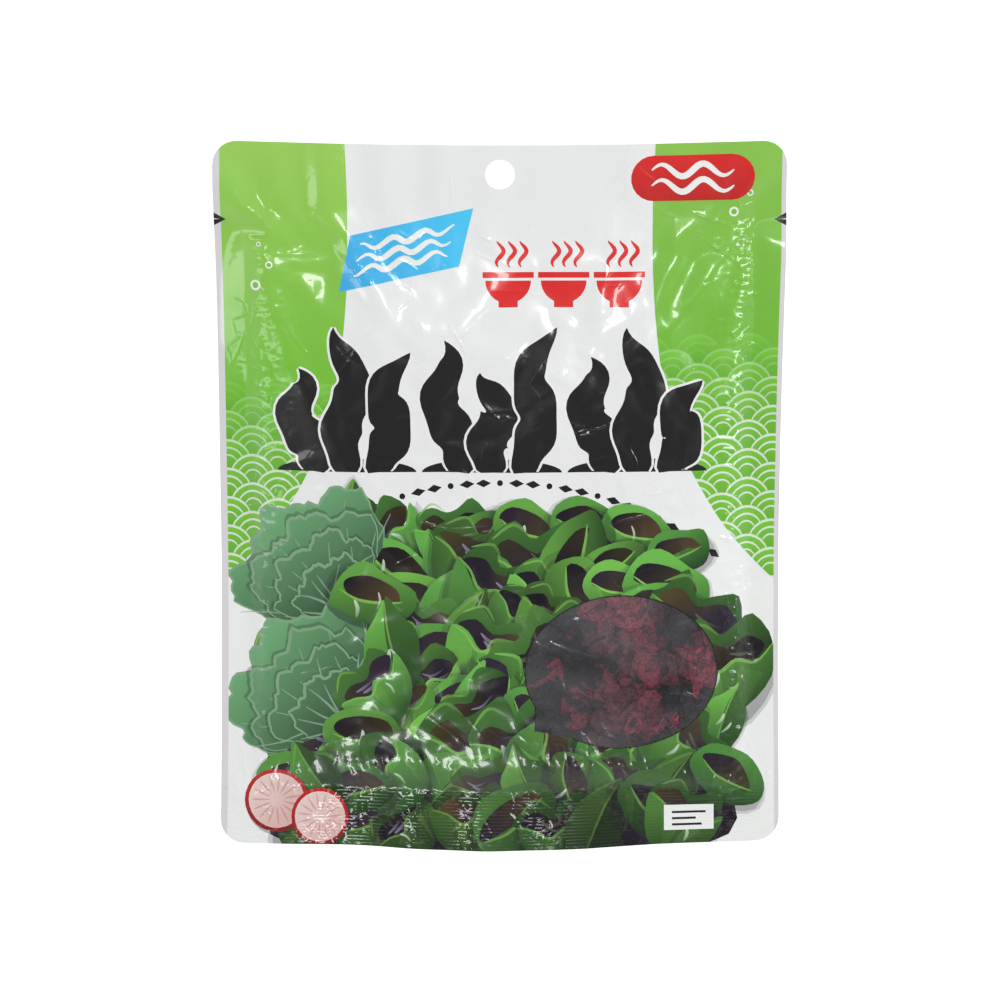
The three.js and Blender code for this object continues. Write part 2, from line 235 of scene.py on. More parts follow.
def catmull_weights(t):
    return (
        ((2 - t) * t - 1) * t / 2,
        ((3 * t - 5) * t * t + 2) / 2,
        ((4 - 3 * t) * t + 1) * t / 2,
        (t - 1) * t * t / 2,
    )


def spline(points, steps=4, closed=True):
    """A smooth curve through points, as an array with steps points for each span."""
    p = np.asarray(points, float)
    count = len(p)
    spans = count if closed else count - 1
    at = np.arange(spans * steps + (not closed)) / steps
    i = np.minimum(at.astype(int), spans - 1)
    weights = catmull_weights(at - i)
    total = 0
    for offset, weight in zip((-1, 0, 1, 2), weights):
        k = (i + offset) % count if closed else np.clip(i + offset, 0, count - 1)
        total = total + p[k] * weight[:, None]
    return total


def arc(centre, radius, start, end, count):
    """Points on an arc of a circle, or of an oval where radius is a pair, between two angles in degrees."""
    a = np.radians(np.linspace(start, end, count))
    return np.asarray(centre) + np.stack([np.cos(a), np.sin(a)], 1) * np.asarray(radius)


def disc(centre, radius, count=20):
    return arc(centre, radius, 0, 360 - 360 / count, count)


def stroke(path, width):
    """The outline of a brush stroke along path, with one width or one for each point."""
    path = np.asarray(path, float)
    along = np.gradient(path, axis=0)
    along /= np.linalg.norm(along, axis=1)[:, None] + 1e-9
    side = np.stack([-along[:, 1], along[:, 0]], 1) * (np.broadcast_to(width, len(path)) / 2)[:, None]
    return np.concatenate([path + side, (path - side)[::-1]])


def placed(points, centre, scale=1.0, turn=0.0):
    c, s = math.cos(turn), math.sin(turn)
    p = np.asarray(points, float) * scale
    return np.stack([p[:, 0] * c - p[:, 1] * s, p[:, 0] * s + p[:, 1] * c], 1) + np.asarray(centre)


def inside(outline, points):
    """Which of points lie inside a closed outline."""
    result = np.zeros(len(points), bool)
    low, high = outline.min(0), outline.max(0)
    near = np.flatnonzero(((points >= low) & (points <= high)).all(1))
    x, y = points[near, 0], points[near, 1]
    odd = np.zeros(len(near), bool)
    for (x0, y0), (x1, y1) in zip(outline, np.roll(outline, -1, 0)):
        if y0 != y1:
            odd ^= ((y0 > y) != (y1 > y)) & (x < (x1 - x0) * (y - y0) / (y1 - y0) + x0)
    result[near] = odd
    return result


class Heights:
    """Heights on a regular grid over the flat sheet, read smoothly between its points."""

    def __init__(self, sheet, grid):
        self.grid = grid
        self.sheet = sheet
        rows, columns = grid.shape
        self.cell = (2 * sheet.half_width / (columns - 1), 2 * sheet.half_height / (rows - 1))

    def at(self, u, v):
        rows, columns = self.grid.shape
        x = np.clip((u + self.sheet.half_width) / self.cell[0], 0, columns - 1)
        y = np.clip((v + self.sheet.half_height) / self.cell[1], 0, rows - 1)
        i = np.minimum(x.astype(int), columns - 2)
        j = np.minimum(y.astype(int), rows - 2)
        across, along = catmull_weights(x - i), catmull_weights(y - j)
        total = 0.0
        for b, weight_y in zip((-1, 0, 1, 2), along):
            row = np.clip(j + b, 0, rows - 1)
            for a, weight_x in zip((-1, 0, 1, 2), across):
                total = total + self.grid[row, np.clip(i + a, 0, columns - 1)] * weight_x * weight_y
        return total


def blurred(grid, times=1):
    for _ in range(times):
        padded = np.pad(grid, 1, mode="edge")
        grid = (padded[:-2, 1:-1] + 2 * padded[1:-1, 1:-1] + padded[2:, 1:-1]) / 4
        padded = np.pad(grid, 1, mode="edge")
        grid = (padded[1:-1, :-2] + 2 * padded[1:-1, 1:-1] + padded[1:-1, 2:]) / 4
    return grid


# Small helpers for meshes and nodes


def grid_quads(index):
    """The four corners of each cell in a grid of vertex numbers."""
    return np.stack([index[:-1, :-1], index[:-1, 1:], index[1:, 1:], index[1:, :-1]], 2)


def mesh_points(mesh):
    """A mesh's points as an array."""
    points = np.empty(len(mesh.vertices) * 3)
    mesh.vertices.foreach_get("co", points)
    return points.reshape(-1, 3)


def smooth_mesh(name, points, faces):
    mesh = bpy.data.meshes.new(name)
    mesh.from_pydata(points, [], faces.tolist())
    mesh.shade_smooth()
    return mesh


def finished_object(name, data, material=None):
    made = bpy.data.objects.new(name, data)
    bpy.context.scene.collection.objects.link(made)
    if material:
        data.materials.append(material)
    return made


def put(tree, kind, inputs=None, **settings):
    """Adds a node, sets it up, and fills or links its inputs."""
    made = tree.nodes.new(kind)
    for key, value in settings.items():
        setattr(made, key, value)
    for key, value in (inputs or {}).items():
        if isinstance(value, bpy.types.NodeSocket):
            tree.links.new(value, made.inputs[key])
        else:
            made.inputs[key].default_value = value
    return made


def maths(tree, operation, *values, **settings):
    return put(tree, "ShaderNodeMath", dict(enumerate(values)), operation=operation, **settings).outputs[0]


def scaled(tree, vector, scale):
    """A vector or a colour times a number."""
    return put(tree, "ShaderNodeVectorMath", {0: vector, "Scale": scale}, operation="SCALE").outputs[0]


def ranged(tree, value, low, high, to_low=0.0, to_high=1.0):
    """Takes value from one range over to another, and no further than its ends."""
    limits = {"From Min": low, "From Max": high, "To Min": to_low, "To Max": to_high}
    return put(tree, "ShaderNodeMapRange", {"Value": value, **limits}).outputs[0]


def noise(tree, place, scale, detail, **shape):
    shape = {"Vector": place, "Scale": scale, "Detail": detail, **shape}
    return put(tree, "ShaderNodeTexNoise", shape).outputs


def lit(tree, inputs):
    """Gives a material its surface."""
    surface = put(tree, "ShaderNodeBsdfPrincipled", inputs)
    put(tree, "ShaderNodeOutputMaterial", {"Surface": surface.outputs[0]})


# The pouch on its flat sheet


class Sheet:
    """The flat sheet and the form that it takes when filled, in millimetres."""

    def __init__(self, size):
        self.half_width = size.width / MM / 2
        self.half_height = size.height / MM / 2
        self.inner_half_width = self.half_width - size.side_seal / MM
        self.inner_bottom = -self.half_height + size.bottom_seal / MM
        self.inner_top = self.half_height - size.top_seal / MM
        self.corner_radius = size.corner_radius / MM
        self.thickness = size.film_thickness / MM
        self.hole = ((0.0, self.half_height - size.hole_from_top / MM), size.hole_radius / MM)
        self.rib_pitch = size.rib_pitch / MM
        self.rib_height = size.rib_height / MM
        self.window_half = (size.window_half_width / MM, size.window_half_height / MM)
        self.lift_v = CAD_BOX[0].y / MM + self.half_height + DRAW_IN["bottom_bow"]

    def grid(self, cell):
        """The u and the v of a regular grid of points over the whole sheet."""
        halves = (self.half_width, self.half_height)
        return np.meshgrid(*(np.linspace(-half, half, round(2 * half / cell) + 1) for half in halves))

    def fullness(self, u, v):
        """How full the pouch is, from 0 at the seals to 1 where it is thickest."""
        across = cap(u / self.inner_half_width) ** FILL["side_fall"]
        below = cap((FILL["centre_v"] - v) / (FILL["centre_v"] - self.inner_bottom)) ** FILL["bottom_fall"]
        above = cap((v - FILL["centre_v"]) / (FILL["top_v"] - FILL["centre_v"]))
        return across * np.where(v < FILL["centre_v"], below, above)

    def seal_plane(self, u, v):
        """The height at which the two films meet."""
        across = 1 - SEAL_PLANE["side_drop"] * (u / self.half_width) ** 2
        header = smoothstep(SEAL_PLANE["header_from"], self.half_height, v)
        along = 1 + (SEAL_PLANE["header_left"] - 1) * header
        corner = (u / self.half_width) ** 4 * (v / self.half_height) ** 4
        lifted = SEAL_PLANE["edge"] + SEAL_PLANE["rise"] * across * along
        lowest = SEAL_PLANE["edge"] - SEAL_PLANE["slack"]
        return np.maximum(lowest, lifted - SEAL_PLANE["corner_droop"] * corner)

    def drawn_in(self, u, v):
        """Where points of the flat sheet end up once the filled pouch has drawn in."""
        waist = DRAW_IN["side"] * cap((v - DRAW_IN["centre_v"]) / DRAW_IN["reach"])
        sag = DRAW_IN["top"] * cap(u / self.half_width) * smoothstep(DRAW_IN["top_from"], self.half_height, v)
        bow = cap(u / DRAW_IN["bow_half"]) ** 3 * smoothstep(DRAW_IN["bow_from"], -self.half_height, v)
        return u * (1 - waist), v - sag - DRAW_IN["bottom_bow"] * bow + self.lift_v

    def outline(self):
        w, h, r = self.half_width, self.half_height, self.corner_radius
        centres = ((w - r, -h + r, -90), (w - r, h - r, 0), (-w + r, h - r, 90), (-w + r, -h + r, 180))
        corners = [arc((x, y), r, start, start + 90, 8) for x, y, start in centres]
        right_notch = self.notch_outline(1)[[0, 2, 1]]
        left_notch = self.notch_outline(-1)[[1, 2, 0]]
        return np.concatenate([corners[0], right_notch, corners[1], corners[2], left_notch, corners[3]])

    def notch_outline(self, side):
        """The tear notch at one side: its lower and upper corners on the edge, and its tip."""
        edge, tip = side * self.half_width, side * (self.half_width - NOTCH["depth"])
        v, half = NOTCH["v"], NOTCH["half_height"]
        return np.array([(edge, v - half), (edge, v + half), (tip, v)])

    def window_outline(self, scale=1.0, count=64):
        """The window, an oval whose lower left runs out to a point."""
        oval = arc(WINDOW_CENTRE, np.array(self.window_half) * scale, *WINDOW_SWEEP, count)
        centre = np.array(WINDOW_CENTRE)
        return np.concatenate([[centre + (np.array(WINDOW_POINT) - centre) * scale], oval])

    def hole_outline(self):
        return disc(*self.hole, 40)


class Creases:
    """Thin sharp ridges in a film, along short bent lines."""

    spans, mesh_step = 7, 0.7
    field = ((-56, 56), (-68, 74))  # where the long creases start, in u and v
    edge = ((57.5, 62.5), (-68, 72))  # where the squiggles beside the seals start

    def __init__(self, seed, count=70, squiggles=60):
        random = np.random.default_rng(seed)
        self.lines = []
        for _ in range(count):
            start = np.array([random.uniform(*self.field[0]), random.uniform(*self.field[1])])
            way = random.normal(0.5, 0.5) * random.choice((-1, 1))
            self.add(random, start, way, random.uniform(4, 15), 0.25, random.uniform(0.08, 0.18))
        for _ in range(squiggles):
            side = random.choice((-1, 1, 1))
            start = np.array([side * random.uniform(*self.edge[0]), random.uniform(*self.edge[1])])
            way, reach, high = random.uniform(0, math.pi), random.uniform(1.5, 5), random.uniform(0.1, 0.2)
            self.add(random, start, way, reach, 1.5, high)

    def add(self, random, start, way, reach, bend, high):
        turns = way + np.cumsum(random.normal(0, bend / 3, self.spans))
        steps = np.stack([np.cos(turns), np.sin(turns)], 1) * reach / self.spans
        path = np.concatenate([[start], start + np.cumsum(steps, 0)])
        self.lines.append((path, high, random.uniform(0.2, 0.32)))

    def at(self, u, v):
        """How far the ridges lift the film."""
        points = np.stack([np.ravel(u), np.ravel(v)], 1)
        lift = np.zeros(len(points))
        for path, high, width in self.lines:
            near = ((points > path.min(0) - 3 * width) & (points < path.max(0) + 3 * width)).all(1)
            spot = points[near, None] - path[:-1]
            step = path[1:] - path[:-1]
            share = np.clip((spot * step).sum(2) / (step * step).sum(1), 0, 1)
            distance = np.linalg.norm(spot - share[..., None] * step, axis=2)
            nearest = distance.argmin(1)
            rows = np.arange(len(nearest))
            along = (nearest + share[rows, nearest]) / len(step)
            ridge = np.exp(-((distance[rows, nearest] / width) ** 2))
            lift[near] += high * ridge * np.sin(math.pi * along) ** 0.6
        return lift.reshape(np.shape(u))

    def mesh_points(self):
        """Points on and beside the ridges, so that the mesh can follow them."""
        points = []
        for path, _, width in self.lines:
            steps = max(1, round(np.linalg.norm(path[-1] - path[0]) / self.spans / self.mesh_step))
            fine = spline(path, steps, closed=False)
            along = np.gradient(fine, axis=0)
            side = np.stack([-along[:, 1], along[:, 0]], 1) / np.linalg.norm(along, axis=1)[:, None]
            points += [fine + side * offset * width for offset in (-1.6, -0.7, 0, 0.7, 1.6)]
        return np.concatenate(points)


def seal_puckers(sheet, u, v, seed):
    """Small folds that run in from the seals, as a sealing bar leaves them."""
    random = np.random.default_rng(seed)
    lift = np.zeros_like(u)
    sides = ((sheet.inner_half_width - u, v), (sheet.inner_half_width + u, v), (v - sheet.inner_bottom, u))
    for inward, along in sides:
        folds = np.zeros_like(u)
        for pace in random.uniform(0.35, 1.6, 9):
            folds += np.cos(pace * along + 0.35 * pace * inward * random.normal() + random.uniform(0, 6.3))
        ridge = np.clip(1 - np.abs(folds) / 3, 0, 1) ** 2
        lift += ridge * np.exp(-np.clip(inward, 0, None) / 4.5) * smoothstep(-1.0, 1.5, inward)
    return lift * smoothstep(sheet.inner_top, sheet.inner_top - 12, v)


class Films:
    """The heights of the two films' faces over the flat sheet, in millimetres."""

    def __init__(self, sheet, front_rise, back_rise):
        self.sheet = sheet
        self.front_rise = Heights(sheet, front_rise)
        self.back_rise = Heights(sheet, back_rise)
        self.creases = Creases(CREASE_SEED)

    def ribs(self, v):
        """The fine ribs that the sealing bar pressed into the bottom seal."""
        sheet = self.sheet
        down = smoothstep(sheet.inner_bottom - 0.6, sheet.inner_bottom - 1.2, v)
        edge = smoothstep(-sheet.half_height, -sheet.half_height + 0.5, v)
        return np.cos(2 * math.pi * v / sheet.rib_pitch) * down * edge * sheet.rib_height / 2

    def back_outer(self, u, v):
        plane = self.sheet.seal_plane(u, v) - FILM_GAP / 2 - self.sheet.thickness
        return soft_floor(plane + self.back_rise.at(u, v) + self.ribs(v), FOOT_BLEND)

    def back_inner(self, u, v):
        return self.back_outer(u, v) + self.sheet.thickness

    def front_inner(self, u, v):
        plane = self.sheet.seal_plane(u, v) + FILM_GAP / 2
        free = plane + self.front_rise.at(u, v) + self.ribs(v) + self.creases.at(u, v)
        return np.maximum(free, self.back_inner(u, v) + FILM_GAP)

    def front_outer(self, u, v):
        return self.front_inner(u, v) + self.sheet.thickness


SIM_UNIT = 100.0  # millimetres in one unit of the simulation, so that the sheet is about 1.5 units across
SIM_CELL = 1.5
SIM_FRAMES = 30
FIRST_BULGE = 2.0
LUMP_CELL = 0.5


def pressed_share(sheet, u, v, seed):
    """How hard the filling presses on each point: lumpy, and fading out in the header."""
    random = np.random.default_rng(seed)
    lumps = np.zeros_like(u)
    for _ in range(40):
        turn, phase = random.uniform(0, 2 * math.pi, 2)
        pace = random.uniform(0.13, 0.31)
        lumps += np.cos(pace * (u * math.cos(turn) + v * math.sin(turn)) + phase)
    fade = smoothstep(0.72 * sheet.half_height, 0.40 * sheet.half_height, v)
    return np.clip(fade * (1 + 0.6 * lumps / math.sqrt(20)), 0, 2) / 2


def sealed_sheet(sheet):
    """Both films in one mesh, joined at the seals. Returns it and the front's and back's vertex grids."""
    u, v = sheet.grid(SIM_CELL)
    free = (np.abs(u) < sheet.inner_half_width) & (v > sheet.inner_bottom) & (v < sheet.inner_top)
    front = np.arange(u.size).reshape(u.shape)
    back = front.copy()
    back[free] = u.size + np.arange(free.sum())
    start = FIRST_BULGE * np.sqrt(np.clip(sheet.fullness(u, v), 0, None))
    points = np.zeros((u.size + free.sum(), 3))
    points[back] = np.stack([u, v, np.where(free, -start, 0)], 2)
    points[front] = np.stack([u, v, np.where(free, start, 0)], 2)
    front_quads, back_quads = grid_quads(front).reshape(-1, 4), grid_quads(back).reshape(-1, 4)[:, ::-1]
    apart = (np.sort(front_quads, 1) != np.sort(back_quads, 1)).any(1)
    mesh = bpy.data.meshes.new("sealed_sheet")
    mesh.from_pydata(points / SIM_UNIT, [], np.concatenate([front_quads, back_quads[apart]]).tolist())
    sealed = finished_object("sealed_sheet", mesh)
    pressed = sealed.vertex_groups.new(name="pressed")
    for index, seed in zip((front, back), PRESS_SEEDS):
        shares = pressed_share(sheet, u, v, seed)
        for vertex, share in zip(index[free].tolist(), shares[free].tolist()):
            pressed.add([vertex], share, "REPLACE")
    sealed.vertex_groups.new(name="seals").add(front[~free].tolist(), 1.0, "REPLACE")
    return sealed, front, back


def inflate(sheet):
    """Blows up the sealed sheet as cloth. Returns the front's and the back's heights on its grid."""
    sealed, front, back = sealed_sheet(sheet)
    cloth = sealed.modifiers.new("film", "CLOTH")
    film = cloth.settings
    film.quality = 6
    film.mass = 0.15
    film.air_damping = 2.0
    film.tension_stiffness = film.compression_stiffness = 1500
    film.shear_stiffness = 700
    film.bending_stiffness = 0.2
    film.bending_stiffness_max = 60
    film.vertex_group_bending = "seals"
    film.tension_damping = film.compression_damping = film.shear_damping = 10
    film.use_pressure = True
    film.uniform_pressure_force = 0
    film.use_pressure_volume = True
    film.target_volume = 0.13
    film.pressure_factor = 1.5
    film.vertex_group_pressure = "pressed"
    film.effector_weights.gravity = 0
    cloth.collision_settings.use_collision = False
    scene = bpy.context.scene
    first_frame = scene.frame_current
    cloth.point_cache.frame_start, cloth.point_cache.frame_end = 1, SIM_FRAMES
    for number in range(1, SIM_FRAMES + 1):
        scene.frame_set(number)
    blown = sealed.evaluated_get(bpy.context.evaluated_depsgraph_get()).data
    heights = mesh_points(blown)[:, 2] * SIM_UNIT
    mesh = sealed.data
    bpy.data.objects.remove(sealed)
    bpy.data.meshes.remove(mesh)
    scene.frame_set(first_frame)
    return heights[front], heights[back]


def flake_lumps(sheet, seed, count=420):
    """Small domes that flakes press into the film, on a fine grid over the sheet."""
    random = np.random.default_rng(seed)
    us, vs = sheet.grid(LUMP_CELL)
    grid = np.zeros_like(us)
    for _ in range(count):
        u, v = random.uniform(-56, 56), random.uniform(-70, 50)
        long, wide = random.uniform(3.5, 8.0), random.uniform(1.8, 4.0)
        turn, high = random.uniform(0, math.pi), random.uniform(0.12, 0.5)
        near = np.ix_(np.abs(vs[:, 0] - v) < long, np.abs(us[0] - u) < long)
        du, dv = us[near] - u, vs[near] - v
        along = (du * math.cos(turn) + dv * math.sin(turn)) / long
        across = (dv * math.cos(turn) - du * math.sin(turn)) / wide
        grid[near] = np.maximum(grid[near], high * np.clip(1 - along**2 - across**2, 0, None))
    return blurred(grid, 2) * smoothstep(0.1, 0.45, sheet.fullness(us, vs))


@functools.cache
def pouch_films():
    """The sheet and its two films, blown up once for every piece that needs them."""
    scene = bpy.context.scene
    sheet = Sheet(scene.pouch_size)
    u, v = sheet.grid(LUMP_CELL)
    risen = [blurred(grid) for grid in inflate(sheet)]
    gains = [fill / np.abs(grid).max() for fill, grid in zip((FILL["front"], FILL["back"]), risen)]
    front, back = (Heights(sheet, grid * gain).at(u, v) for grid, gain in zip(risen, gains))
    lumps = [flake_lumps(sheet, seed) for seed in LUMP_SEEDS]
    puckers = [PUCKER_HEIGHT * seal_puckers(sheet, u, v, seed) for seed in PUCKER_SEEDS]
    front += lumps[0] + puckers[0]
    back -= lumps[1] + puckers[1]
    return sheet, Films(sheet, front, back)


# The print, as flat inks in painter's order


class Ink:
    """One printed shape: a closed outline, and a colour and cover that may run between two points."""

    def __init__(self, outline, near, far=None, start=(0, 0), end=(0, 1), cover=(1.0, 1.0)):
        self.outline = np.asarray(outline, float)
        self.near = linear(near)
        self.far = self.near if far is None else linear(far)
        self.start = np.asarray(start, float)
        self.along = np.asarray(end, float) - self.start
        self.cover = cover

    def over(self, points, under):
        """The colours at points once this shape is printed over the colours there."""
        share = np.clip((points - self.start) @ self.along / (self.along @ self.along), 0, 1)[..., None]
        cover = self.cover[0] + (self.cover[1] - self.cover[0]) * share
        return under * (1 - cover) + (self.near + (self.far - self.near) * share) * cover


def box_outline(left, right, bottom, top):
    return np.array([(left, bottom), (right, bottom), (right, top), (left, top)])


def tinted(rgb, gain, random=None, spread=0.0):
    """A colour made lighter or darker, with a small random shift of hue."""
    shift = random.uniform(-spread, spread, 3) if random is not None else 0
    return np.clip(np.asarray(rgb) * gain + shift, 0, 1)


def blended(first, second, share):
    return np.asarray(first) * (1 - share) + np.asarray(second) * share


def tapered(path, width, ends=0.12):
    """A stroke that thins out towards both its ends."""
    return stroke(path, width * np.sin(np.linspace(ends, math.pi - ends, len(path))) ** 0.7)


PANEL_TOP, PANEL_EDGE = 90.0, 75.0
WHITE_INK = (0.95, 0.96, 0.95)
MARGIN_INK = (0.87, 0.86, 0.865)
RIM_INK = (0.1, 0.12, 0.09)
LEAF_INKS = {"warm": (0.52, 0.66, 0.22), "brown": (0.30, 0.25, 0.13), "rim": (0.70, 0.84, 0.44)}
# The left and right inks paint reflection: streaks of the film's sheen on dark ink, lilac on the heap's left
# and olive on its right. The wet ink is a highlight of the printed leaves.
SHEEN_INKS = {"left": (0.76, 0.72, 0.88), "right": (0.50, 0.52, 0.40), "wet": (0.88, 0.95, 0.88)}
FRILL_EDGE_INK = (0.85, 0.93, 0.85)
RADISH_INKS = {"flesh": (0.95, 0.87, 0.85), "shade": (0.84, 0.66, 0.64), "rays": (0.80, 0.48, 0.46)}

# Places of the printed motifs on the flat sheet
BUBBLES = ((-60, 52, 1.3), (-56.5, 57, 0.9), (-59, 62, 0.6), (57, 70, 1.2), (61, 74.5, 0.8))
BADGE_PLACE = (47, 78.5)
BOWL_PLACES = ((2.0, 53.5), (15.6, 53.5), (29.2, 53.5))
BOWL_SIZE = 5.6
WAVE_PANELS = ((-68, -32, 22, -30), (36, 78, 34, -30))
WAVE_RADIUS = 6.4
KELP_TUFTS = ((-38.0, (25, 35, 29)), (-2.0, (32, 24, 35)), (34.0, (28, 35, 22)))
KELP_FOOT, KELP_THICK = 7.0, 10.2
ARC_CENTRE = (0, -84)
FRILLS = (((-38, -28), 62, 188), ((-38, -56), 74, 204))
FRILL_RADIUS = 30
NEAR_LEAVES = ((-32, -24), (-27, -36), (-31, -47), (-34, -59), (-28, -69), (-36, -73), (-46, -70))
RADISHES = (((-56, -76), 8.0, 0.2), ((-45, -80), 7.2, 0.9))


def side_panels(look):
    """The green ground, and the white middle that widens into a dome behind the picture."""
    wide = box_outline(-PANEL_EDGE, PANEL_EDGE, -PANEL_TOP, PANEL_TOP)
    ground = [Ink(wide, look.green, look.pale_green, (0, 30), (0, 88))]
    ground.append(Ink(wide, look.deep_green, look.deep_green, (0, 0), (40, 0), (0.0, 0.3)))
    right_side = [(38, 90), (37.2, 66), (38.5, 40), (43, 17), (54, -4), (66, -18), (74, -24)]
    right = spline(right_side, 5, closed=False)
    left = (right * (-1, 1))[::-1]
    middle = np.concatenate([right, [(74, -90), (-74, -90)], left])
    inner = middle * (0.94, 1)
    return ground, [
        Ink(middle, look.paper),
        Ink(inner, tinted(look.paper, 0.94), WHITE_INK, (0, 60), (0, -10), (0.0, 0.6)),
    ]


def wave_scales(look, left, right, top, bottom, radius):
    """Overlapping scales of white ripples, the old sea-wave pattern, which fades in as it goes down."""
    inks = []
    for row, y in enumerate(np.arange(top, bottom, -radius * 0.55)):
        strength = float(smoothstep(top + 4, top - 24, y))
        for x in np.arange(left + (row % 2) * radius, right, 2 * radius):
            ground = tinted(look.green, 1.03)
            inks.append(Ink(disc((x, y), radius * 0.98, 22), ground, look.deep_green, (x, y + 6), (x, y - 3)))
            for share, width in ((0.92, 0.62), (0.64, 0.52), (0.36, 0.45)):
                ripple = arc((x, y), radius * share, 8, 172, 13)
                inks.append(Ink(tapered(ripple, width), WHITE_INK, cover=(0.75 * strength, 0.75 * strength)))
    return inks


def bubbles(look):
    inks = []
    for x, y, radius in BUBBLES:
        inks.append(Ink(disc((x, y), radius, 18), WHITE_INK))
        inks.append(Ink(disc((x, y), radius * 0.6, 14), look.green))
    return inks


def badge(look, centre):
    """A red pill with two white ripples."""
    x, y = centre
    ends = [arc((x + side * 9.5, y), 5.6, turn, turn + 180, 12) for side, turn in ((1, -90), (-1, 90))]
    inks = [Ink(np.concatenate(ends), look.red, tinted(look.red, 0.86), (0, y + 6), (0, y - 6))]
    across = np.linspace(-10, 10, 26)
    for drop in (1.9, -1.9):
        path = np.stack([x + across, y + drop + 1.5 * np.sin(across * 0.62)], 1)
        inks.append(Ink(tapered(path, 1.6), WHITE_INK))
    return inks


def kelp(base, heights, thick, rgb, gap_rgb):
    """A bold tuft of kelp: blades that weave as they rise, each with a pale gap round it."""
    inks = [Ink(arc(base, (1.7 * thick, 0.32 * thick), 0, 180, 20), rgb)]
    t = np.linspace(0, 1, 30)
    for k, high in enumerate(heights):
        side = k - (len(heights) - 1) / 2
        lean = side * thick * (0.8 + 0.5 * t)
        weave = 0.3 * thick * np.sin(t * 8.4 + 2.4 * k + 0.5) * t**0.6
        path = np.stack([base[0] + lean + weave, base[1] + high * t], 1)
        widths = thick * (0.5 + 0.46 * np.sin(t**0.7 * math.pi)) * (1 - t**8)
        widths *= 1 + 0.09 * np.sin(t * 24 + k)
        inks.append(Ink(stroke(path, widths + 1.2), gap_rgb))
        inks.append(Ink(stroke(path, widths), rgb))
    return inks


def soup_bowl(look, centre, size):
    """A small red bowl with steam over it."""
    x, y = centre
    inks = [Ink(arc((x, y), size, 180, 360, 18), look.red)]
    for half, bottom, top in ((1.12, 0.12, 0.38), (0.42, -1.18, -0.8)):
        box = box_outline(x - size * half, x + size * half, y + bottom * size, y + top * size)
        inks.append(Ink(box, look.red))
    for shift in (-0.36, 0.14, 0.64):
        rise = np.linspace(0.6, 1.75, 12)
        path = np.stack([shift * size + 0.16 * size * np.sin(rise * 6.0), rise * size], 1) + (x, y)
        inks.append(Ink(tapered(path, 0.2 * size), look.red))
    return inks


def blue_flash(look):
    """A slanted blue flash with white ripples."""
    corners = np.array([(-39.5, 50.5), (-10.0, 57.0), (-6.5, 71.5), (-36.5, 64.5)])
    inks = [Ink(corners, look.blue, tinted(look.blue, 1.18), corners[0], corners[2])]
    along, up = corners[1] - corners[0], corners[3] - corners[0]
    x = np.linspace(0.1, 0.88, 24)
    for level in (0.3, 0.52, 0.74):
        path = corners[0] + x[:, None] * along + (level + 0.07 * np.sin(x * 24 + level * 7))[:, None] * up
        inks.append(Ink(tapered(path, 1.5), WHITE_INK))
    return inks


def ornament_arc(look):
    """A row of small dark lozenges and dots on a shallow arc over the picture."""
    inks = []
    for k, (x, y) in enumerate(arc(ARC_CENTRE, 88.5, 127, 53, 29)):
        if k % 3 == 2:
            inks.append(Ink(disc((x, y), 0.75, 10), look.black))
        else:
            turn = math.atan2(y - ARC_CENTRE[1], x) - math.pi / 2
            lozenge = [(-1.9, 0), (0, -0.95), (1.9, 0), (0, 0.95)]
            inks.append(Ink(placed(lozenge, (x, y), 1.0, turn), look.black))
    return inks


# Outlines of the drawn leaves, one unit to half a leaf's height, with their ribs' ends
CUP_BACK = [
    (-0.98, 0.22), (-0.92, 0.62), (-0.52, 0.98), (-0.12, 0.7), (0.22, 0.84), (0.66, 1.06), (0.99, 0.46),
    (0.4, 0.1), (-0.4, 0.05),
]
CUP_MOUTH = [
    (-0.92, 0.3), (-0.5, 0.62), (-0.05, 0.42), (0.45, 0.66), (0.92, 0.42), (0.45, 0.02), (-0.35, -0.08),
]
CUP_FRONT = [
    (-0.25, -1.02), (-0.78, -0.58), (-1.04, 0.28), (-0.62, 0.18), (-0.2, -0.06), (0.2, 0.16), (0.62, 0.06),
    (1.02, 0.42), (0.9, -0.32), (0.36, -0.94),
]
CUP_RIM = [(-1.02, 0.27), (-0.62, 0.17), (-0.2, -0.07), (0.2, 0.15), (0.62, 0.05), (1.0, 0.4)]
TONGUE = [
    (-0.32, -1.0), (-0.64, -0.4), (-0.6, 0.3), (-0.2, 0.86), (0.04, 1.12), (0.3, 0.7), (0.62, 0.3),
    (0.56, -0.4), (0.28, -0.96),
]
TONGUE_HALF = [(0.04, 1.12), (0.3, 0.7), (0.62, 0.3), (0.56, -0.4), (0.28, -0.96), (0.02, -0.5), (-0.04, 0.3)]
CURL = [
    (-1.0, -0.2), (-0.9, 0.4), (-0.4, 0.72), (0.3, 0.66), (0.86, 0.42), (1.04, -0.1), (0.62, -0.5),
    (0.0, -0.62), (-0.6, -0.52),
]
CURL_MOUTH = [
    (-0.8, 0.02), (-0.66, 0.36), (-0.1, 0.5), (0.5, 0.36), (0.74, 0.08), (0.3, -0.04), (-0.3, -0.12),
]


